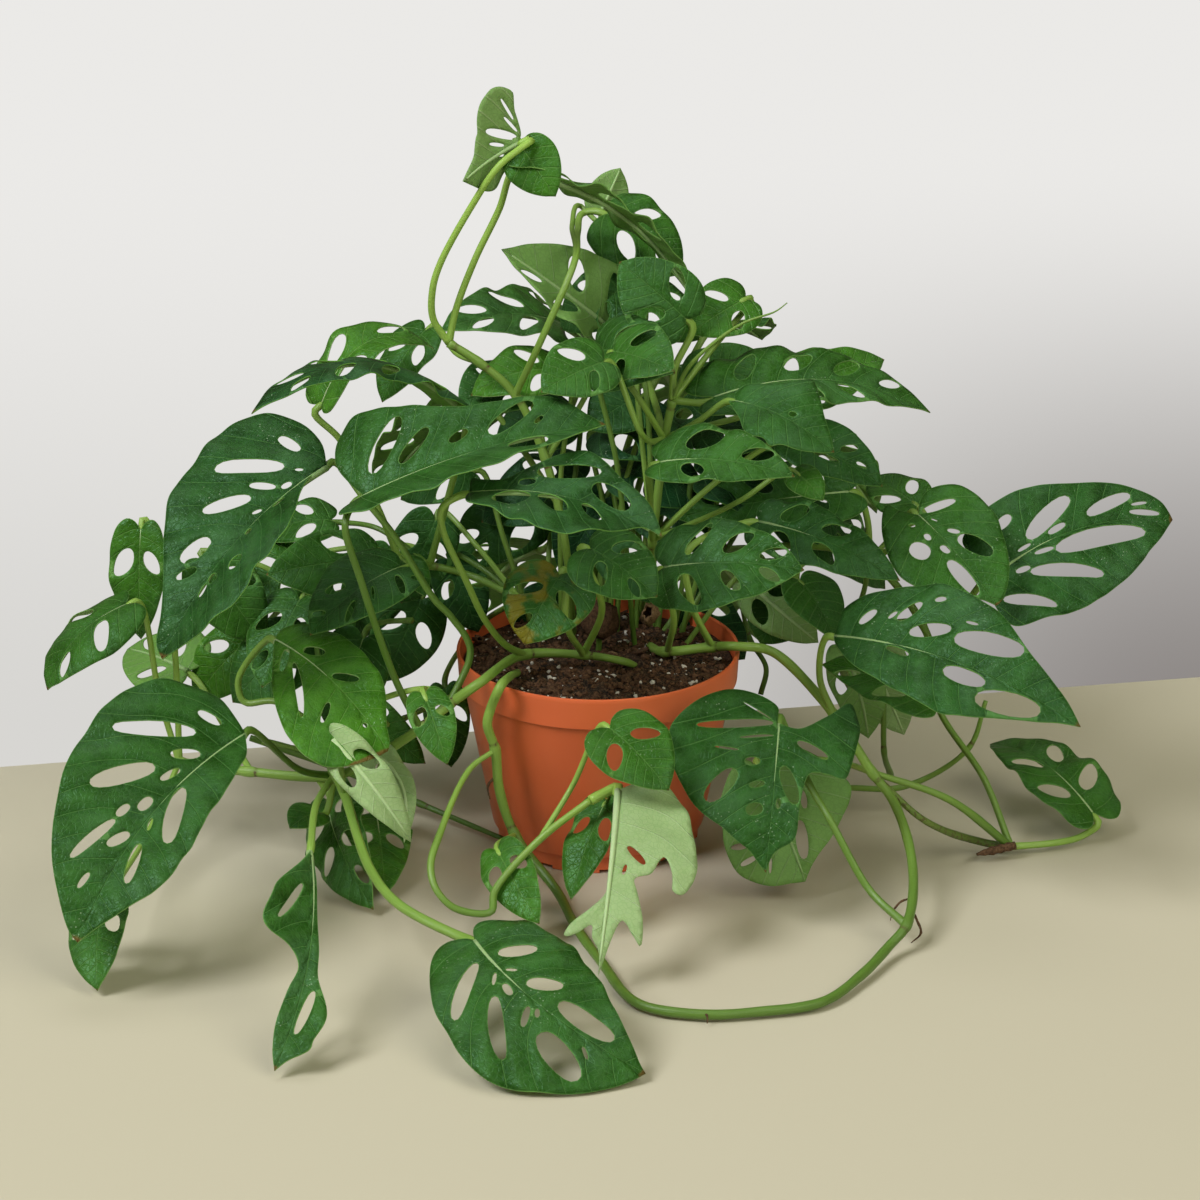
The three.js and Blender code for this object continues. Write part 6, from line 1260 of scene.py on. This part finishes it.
def pot(plastic):
    """A circle drawn up ring by ring round the pot's section, then notched and drilled."""
    top = POT_H - RIM_BAND

    def outer(z):
        return FOOT_R + 1 + (RIM_R - BAND_STEP - FOOT_R - 1) * z / top
    section = [
        (FOOT_R - 6, 3), (FOOT_R - 5.4, 1.2), (FOOT_R - 4.6, 0), (FOOT_R - 0.5, 0), (FOOT_R, 0.5),
        (FOOT_R, FOOT_STEP_Z - 0.3), (FOOT_R + 0.25, FOOT_STEP_Z),
        (outer(FOOT_STEP_Z) - 0.1, FOOT_STEP_Z + 0.35), (outer(FOOT_STEP_Z + 0.8), FOOT_STEP_Z + 0.8),
        (outer(40), 40), (outer(70), 70), (outer(top - 1.2), top - 1.2), (outer(top) + 0.1, top - 0.2),
        (RIM_R - 1.9, top + 0.15), (RIM_R - 1.25, top + 0.6), (RIM_R - 1.15, top + 1.4),
        (RIM_R - 0.55, POT_H - 6), (RIM_R - 0.1, POT_H - 2.6), (RIM_R, POT_H - 1.2), (RIM_R - 0.25, POT_H - 0.3),
        (RIM_R - 0.8, POT_H), (RIM_R - WALL + 0.4, POT_H - 0.05), (RIM_R - WALL, POT_H - 0.6),
        (RIM_R - WALL - 0.6, POT_H - 8), (RIM_R - BAND_STEP - WALL + 0.3, top + 0.8),
        (RIM_R - BAND_STEP - WALL, top - 1), (FOOT_R - WALL + 0.5, 8), (FOOT_R - WALL - 1, 5.2),
        (FOOT_R - WALL - 3, 5), (6, 5)]
    piece = ring_of(*section[0])
    bpy.ops.object.mode_set(mode="EDIT")
    bpy.ops.mesh.select_all(action="SELECT")
    for (r0, z0), (r1, z1) in zip(section, section[1:]):
        bpy.ops.mesh.extrude_region_move(TRANSFORM_OT_translate={"value": (0, 0, (z1 - z0) * MM)})
        bpy.ops.transform.resize(value=(r1 / r0, r1 / r0, 1), center_override=(0, 0, z1 * MM))
    bpy.ops.mesh.edge_face_add()
    bpy.ops.mesh.select_all(action="DESELECT")
    bpy.ops.object.mode_set(mode="OBJECT")
    close_floor(piece)
    piece.name = piece.data.name = "nursery_pot"
    cutters = []
    for i in range(DRAINS):
        turn = math.radians(FIRST_NOTCH + 360 * i / DRAINS)
        place = Vector((math.cos(turn), math.sin(turn), 0)) * FOOT_R * MM
        bpy.ops.mesh.primitive_cube_add(size=1, location=place, rotation=(0, 0, turn))
        cutter = bpy.context.object
        cutter.scale = (14 * MM, NOTCH_W * MM, 2 * NOTCH_H * MM)
        bevel = cutter.modifiers.new("round", "BEVEL")
        bevel.width = 0.0007
        bevel.segments = 3
        cutters.append(cutter)
        if i % 2 == 0:
            place = Vector((math.cos(turn), math.sin(turn), 0)) * (FOOT_R - 18) * MM
            bpy.ops.mesh.primitive_cylinder_add(vertices=24, radius=DRAIN_R * MM, depth=8 * MM,
                                                location=place + Vector((0, 0, 4 * MM)))
            cutters.append(bpy.context.object)
    for cutter in cutters:
        apply_modifiers(cutter)
        bpy.ops.object.transform_apply(location=True, rotation=True, scale=True)
        cut = piece.modifiers.new("cut", "BOOLEAN")
        cut.operation = "DIFFERENCE"
        cut.solver = "EXACT"
        cut.object = cutter
        apply_modifiers(piece)
        bpy.data.objects.remove(cutter, do_unlink=True)
    bpy.ops.object.shade_smooth_by_angle(angle=math.radians(28))
    piece.data.materials.clear()
    piece.data.materials.append(plastic)
    return piece


def close_floor(piece):
    """Fills the ring that is still open under the pot, and points every face outward."""
    pick(piece)
    bpy.ops.object.mode_set(mode="EDIT")
    bpy.ops.mesh.select_mode(type="EDGE")
    bpy.ops.mesh.select_all(action="DESELECT")
    bpy.ops.mesh.select_non_manifold()
    bpy.ops.mesh.edge_face_add()
    bpy.ops.mesh.select_all(action="SELECT")
    bpy.ops.mesh.normals_make_consistent(inside=False)
    bpy.ops.object.mode_set(mode="OBJECT")


# ------------------------------------------------------------------ potting mix
def soil_height(x, y):
    """The top of the mix at a point, in mm."""
    r = math.hypot(x, y)
    bumps = 0.0
    for k, (size, deep) in enumerate(((17, 1.1), (8, 0.8), (3.6, 0.55), (1.9, 0.35))):
        along, aside = x / size + 1.7 * k, y / size
        bumps += deep * math.sin(along + 0.9 * math.sin(aside * 1.3)) * math.cos(aside - 2.1 * k)
    rest = SOIL_Z - 1.4 + SOIL_DOME * (1 - (r / RIM_R) ** 2)
    return rest + bumps * (1 if r < 66 else max(0.2, 1 - (r - 66) / 8))


def soil(mix):
    """The mix inside the pot, with a lumpy top."""
    top = POT_H - RIM_BAND

    def inner(z):
        wall = (FOOT_R - WALL + (RIM_R - BAND_STEP - FOOT_R) * (z - 5) / (top - 5) if z < top
                else RIM_R - BAND_STEP - WALL + BAND_STEP * (z - top) / RIM_BAND)
        return wall - FIT - 0.1
    sides, rows = 168, 58
    rim = inner(SOIL_Z - 1)
    points, faces = [(0, 0, soil_height(0, 0))], []
    for k in range(1, rows + 1):
        r = rim * (k / rows)
        for i in range(sides):
            t = 2 * math.pi * (i + 0.5 * (k % 2)) / sides
            x, y = r * math.cos(t), r * math.sin(t)
            points.append((x, y, soil_height(x, y)))
    for z in (top, 40, 5 + FIT):
        r = inner(z)
        points += [(r * math.cos(2 * math.pi * i / sides), r * math.sin(2 * math.pi * i / sides), z)
                   for i in range(sides)]
    points.append((0, 0, 5 + FIT))
    for i in range(sides):
        j = (i + 1) % sides
        faces.append((0, 1 + i, 1 + j))
        for k in range(rows + 2):
            a, b = 1 + k * sides, 1 + (k + 1) * sides
            faces.append((a + i, b + i, b + j, a + j))
        last = 1 + (rows + 2) * sides
        faces.append((last + j, last + i, len(points) - 1))
    return mesh_object("potting_mix", points, faces, [mix])


def scatter(name, count, size, flatness, material, seed, lift=0.2):
    """Many small rough grains on the mix."""
    rng = random.Random(seed)
    shape = bmesh.new()
    bmesh.ops.create_icosphere(shape, subdivisions=1, radius=1)
    ball = [v.co.copy() for v in shape.verts]
    tris = [[v.index for v in f.verts] for f in shape.faces]
    shape.free()
    points, faces = [], []
    for _ in range(count):
        r = math.sqrt(rng.uniform(0, MIX_R ** 2))
        t = rng.uniform(0, 2 * math.pi)
        x, y = r * math.cos(t), r * math.sin(t)
        s = size[0] * (size[1] / size[0]) ** rng.random()
        stretch = Vector((rng.uniform(0.7, 1.35), rng.uniform(0.7, 1.2), flatness * rng.uniform(0.7, 1.2)))
        turn = Vector((rng.uniform(-0.5, 0.5), rng.uniform(-0.5, 0.5), rng.uniform(0, 6.3)))
        spin = Euler(turn).to_matrix()
        first = len(points)
        base = soil_height(x, y) + s * lift
        for co in ball:
            rough = 1 + rng.uniform(-0.28, 0.28)
            p = spin @ Vector((co.x * stretch.x, co.y * stretch.y, co.z * stretch.z)) * s * rough
            points.append((x + p.x, y + p.y, base + p.z))
        faces += [[first + i for i in tri] for tri in tris]
    piece = mesh_object(name, points, faces, [material])
    piece.data.polygons.foreach_set("use_smooth", [False] * len(piece.data.polygons))
    return piece


def husk(k, place, size, turn):
    """A dead leaf base on the mix: a crumpled dry cone, open at the top."""
    rng = random.Random(30 + k)
    sides, rows = 14, 7
    points, faces = [], []
    tip_over = Euler(tuple(math.radians(a) for a in turn)).to_matrix()
    for j in range(rows):
        h = j / (rows - 1)
        for i in range(sides):
            t = 2 * math.pi * i / sides
            r = size * (0.16 + 0.34 * math.sin(math.pi * (0.12 + 0.75 * h)))
            r *= 1 + 0.22 * math.sin(5 * t + 3 * h + k)
            r *= 1 + rng.uniform(-0.08, 0.08)
            p = tip_over @ Vector((r * math.cos(t), r * 0.7 * math.sin(t), size * (h - 0.25)))
            points.append(tuple(Vector(place) + p))
    for j in range(rows - 1):
        for i in range(sides):
            n = (i + 1) % sides
            faces.append((j * sides + i, j * sides + n, (j + 1) * sides + n, (j + 1) * sides + i))
    faces.append(tuple(reversed(range(sides))))
    piece = mesh_object("husk", points, faces, [HUSK if k % 2 else BARK])
    solid = piece.modifiers.new("thickness", "SOLIDIFY")
    solid.thickness = 0.7 * MM
    apply_modifiers(piece)
    return piece


def rootlet(k, route, radius):
    """A thin dry air root at a joint."""
    line, along = course(route, 1.5)
    size = radius * (0.35 + 0.65 * np.clip((along[-1] - along) / 8, 0, 1))
    size = size * (1 + 0.12 * np.sin(along * 1.3 + k))
    return tube_object("root", line, size, 7, [ROOT], {"tone": 0.4, "ring": 1}, along)


# ------------------------------------------------------------------ build the plant
veins = leaf_veins()
UPPER, UNDER = leaf_upper(veins), leaf_under(veins)
SKIN, PLASTIC, MIX = stem_skin(), pot_plastic(), potting_mix()
PERLITE = perlite()
CRUMB = dry_husk("peat_crumb", (0.026, 0.012, 0.007), (0.190, 0.098, 0.050))
BARK = dry_husk("bark", (0.035, 0.016, 0.008), (0.16, 0.085, 0.045))
ROOT = dry_husk("root_skin", (0.045, 0.022, 0.012), (0.17, 0.095, 0.05))
HUSK = dry_husk("dry_husk", (0.14, 0.075, 0.035), (0.42, 0.27, 0.15))

leaves = {row[0]: (Leaf(row), row, k + 1) for k, row in enumerate(LEAVES)}


def settle(piece, slot, *nodes):
    """Moves a finished piece home, keeps it inside the frame's box and hands it to the frame."""
    piece.data.transform(HOME)
    for vertex in piece.data.vertices:
        vertex.co = [min(max(c, low), high) for c, low, high in zip(vertex.co, *cad_box)]
    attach(piece, "root")
    if nodes:
        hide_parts(*nodes)


for name, (leaf, row, seed) in leaves.items():
    fine = blade(row, seed, name.replace("leaf", "blade"), UPPER, UNDER)
    settle(fine, "leaf_green", *([name] if name.startswith("leaf") else []))

stalks = []
for k, (base, tip, half, facing, arch, fold, curl, twist, foot, tone, turned) in enumerate(INNER):
    row = (f"inner_{k + 1:02d}", base, tip, (half, half), facing, arch, 0, (fold, fold), (curl, curl), twist)
    leaf = Leaf(row)
    TONE[leaf.name] = tone
    if turned:
        UNDERSIDE_UP.add(leaf.name)
    settle(blade(row, INNER_SEED + k, leaf.name, UPPER, UNDER), "leaf_green")
    rise = leaf.start - np.array(foot, float)
    middle = np.array(foot, float) + rise * 0.5 + np.array([0, 0, 0.12 * np.linalg.norm(rise)])
    stalks.append(stalk([foot, tuple(middle)], leaf, INNER_STALK, 0.35 + 0.2 * jitter(k, 4), SKIN))
for route, radius, tone in INNER_STEMS:
    stalks.append(vine(route, radius / VINE_THIN, (tone, tone), [route[1]], SKIN))
settle(join(stalks, "inner_stalks"), "stem_green")

for stem, (low, high) in STEM_TONE.items():
    rows = [row for row in STEMS if row[0] == stem]
    joints = [row[3][0] for row in rows]
    tubes = []
    for k, (_, carried, radius, route) in enumerate(rows):
        tone = high + 0.12 * jitter(k + 3, len(route))
        if carried:
            radius *= STOUT.get(carried, 1)
            tubes.append(stalk(route, leaves[carried][0], radius, STALK_TONE.get(carried, tone + 0.1), SKIN))
        else:
            tubes.append(vine(route, radius, (low, high), joints[1:] if k == 0 else [], SKIN,
                              stem == "vine_middle" and k > 0, stem == "vine_floor" and k == 2))
    settle(join(tubes, stem.replace("vine", "stem")), "stem_green", stem)

settle(pot(PLASTIC), "pot_plastic", "pot")
settle(soil(MIX), "potting_mix", "soil")
settle(scatter("soil_crumbs", 1500, (0.5, 2.4), 0.8, CRUMB, 5), "potting_mix")
settle(scatter("perlite_grains", 230, (0.3, 1.8), 0.8, PERLITE, 7, 0.35), "potting_mix")
settle(scatter("bark_chips", 150, (1.4, 4.4), 0.45, BARK, 9, 0.3), "potting_mix")
settle(join([husk(k, *row) for k, row in enumerate(HUSKS)], "dry_husks"), "potting_mix")
settle(join([rootlet(k, *row) for k, row in enumerate(ROOTLETS)], "air_roots"), "stem_green")


# ------------------------------------------------------------------ stage, lights and camera
def stage_finish(name, left, right, rough):
    """Matt paint whose colour changes from left to right."""
    material, s, shader = finish_of(name, rough, 0.25)
    cloud = s.noise(s.place(), 3, 2)
    colour = s.mix(s.span(s.split(s.place())[0], -0.5, 0.6), left, right)
    s.feed(shader["Base Color"], s.mix(s.math("MULTIPLY", cloud, 0.06), colour, (0.5, 0.46, 0.36)))
    return material


def table_top():
    """A pale table top whose far edge runs a little aslant behind the plant."""
    reach, edge, thick = 3000, 153, 30           # edge is how far behind the pot's middle the table ends
    slope = (214 - 92) / (335 + 300)             # between two points of that edge
    corners = [(-reach, -reach), (reach, -reach), (reach, edge + slope * reach), (-reach, edge - slope * reach)]
    points = [(*c, 0) for c in corners] + [(*c, -thick) for c in corners]
    faces = [(0, 1, 2, 3), (7, 6, 5, 4)] + [(i, i + 4, (i + 1) % 4 + 4, (i + 1) % 4) for i in range(4)]
    piece = mesh_object("table_top", points, faces, [stage_finish("table_paint", FLOOR_LEFT, FLOOR_RIGHT, 0.6)])
    piece.data.polygons.foreach_set("use_smooth", [False] * len(piece.data.polygons))
    piece.data.transform(HOME)


def backdrop():
    """A wall far behind whose glow is painted light: lighter on the left and at the top, with painted shade low on
    the right.
    """
    far, wide, high = 4200, 6000, 4000
    points = [(-wide, far, -high), (wide, far, -high), (wide, far, high), (-wide, far, high)]
    material = bpy.data.materials.new("backdrop_paper")
    material.use_nodes = True
    s = Sheet(material.node_tree)
    part = s.split(s.place())
    # painted light: the glow dims lower down and is darkest, as painted shade, low on the right
    right = s.span(part[0], -0.25, 0.95)
    down = s.span(part[2], -1.75, -0.75, 1, 0)
    colour = s.mix(down, WALL_TOP, WALL_DOWN)
    colour = s.mix(s.math("MULTIPLY", right, down), colour, WALL_SHADE_LOW)
    shader = material.node_tree.nodes["Principled BSDF"]
    s.feed(shader.inputs["Base Color"], (0, 0, 0))
    s.feed(shader.inputs["Emission Color"], colour)
    shader.inputs["Emission Strength"].default_value = 1
    shader.inputs["Specular IOR Level"].default_value = 0
    piece = mesh_object("backdrop", points, [(0, 1, 2, 3)], [material])
    piece.data.transform(HOME)
    piece.visible_diffuse = piece.visible_glossy = False


table_top()
backdrop()


def lamp(name, place, aim, size, watts, colour):
    """A round soft light; places are in metres."""
    data = bpy.data.lights.new(name, "AREA")
    data.shape = "DISK"
    data.size = size
    data.energy = watts
    data.color = colour
    light = bpy.data.objects.new(name, data)
    light.location = place
    light.rotation_euler = (Vector(aim) - Vector(place)).to_track_quat("-Z", "Y").to_euler()
    bpy.context.scene.collection.objects.link(light)


lamp("key", (-3.1, -1.9, 4.0), (0, 0, 0.15), 2.4, 232, (1, 0.99, 1.0))
lamp("fill", (2.4, -2.6, 3.0), (0.1, 0, 0.1), 3.4, 92, (1, 0.97, 0.80))
lamp("top", (-0.3, 0.8, 2.6), (0, 0, 0.1), 1.6, 10, (1, 1, 1))
world = bpy.data.worlds.new("studio")
bpy.context.scene.world = world
world.use_nodes = True
world.node_tree.nodes["Background"].inputs[0].default_value = (0.87, 0.84, 0.54, 1)
world.node_tree.nodes["Background"].inputs[1].default_value = 0.15

view = bpy.data.cameras.new("camera")
FOCAL, FRAME, SENSOR = 4269, 1200, 36         # focal length and picture width in pixels; sensor in mm
TILT = 21.3                                   # degrees down from level
view.sensor_width = SENSOR
view.lens = SENSOR * FOCAL / FRAME
view.clip_start, view.clip_end = 0.1, 30
camera = bpy.data.objects.new("camera", view)
camera.location = HOME @ Vector((0.001, -2.125, 0.9641))
camera.rotation_euler = (math.radians(90 - TILT), 0, 0)
bpy.context.scene.collection.objects.link(camera)
bpy.context.scene.camera = camera
bpy.context.scene.view_settings.view_transform = "Standard"
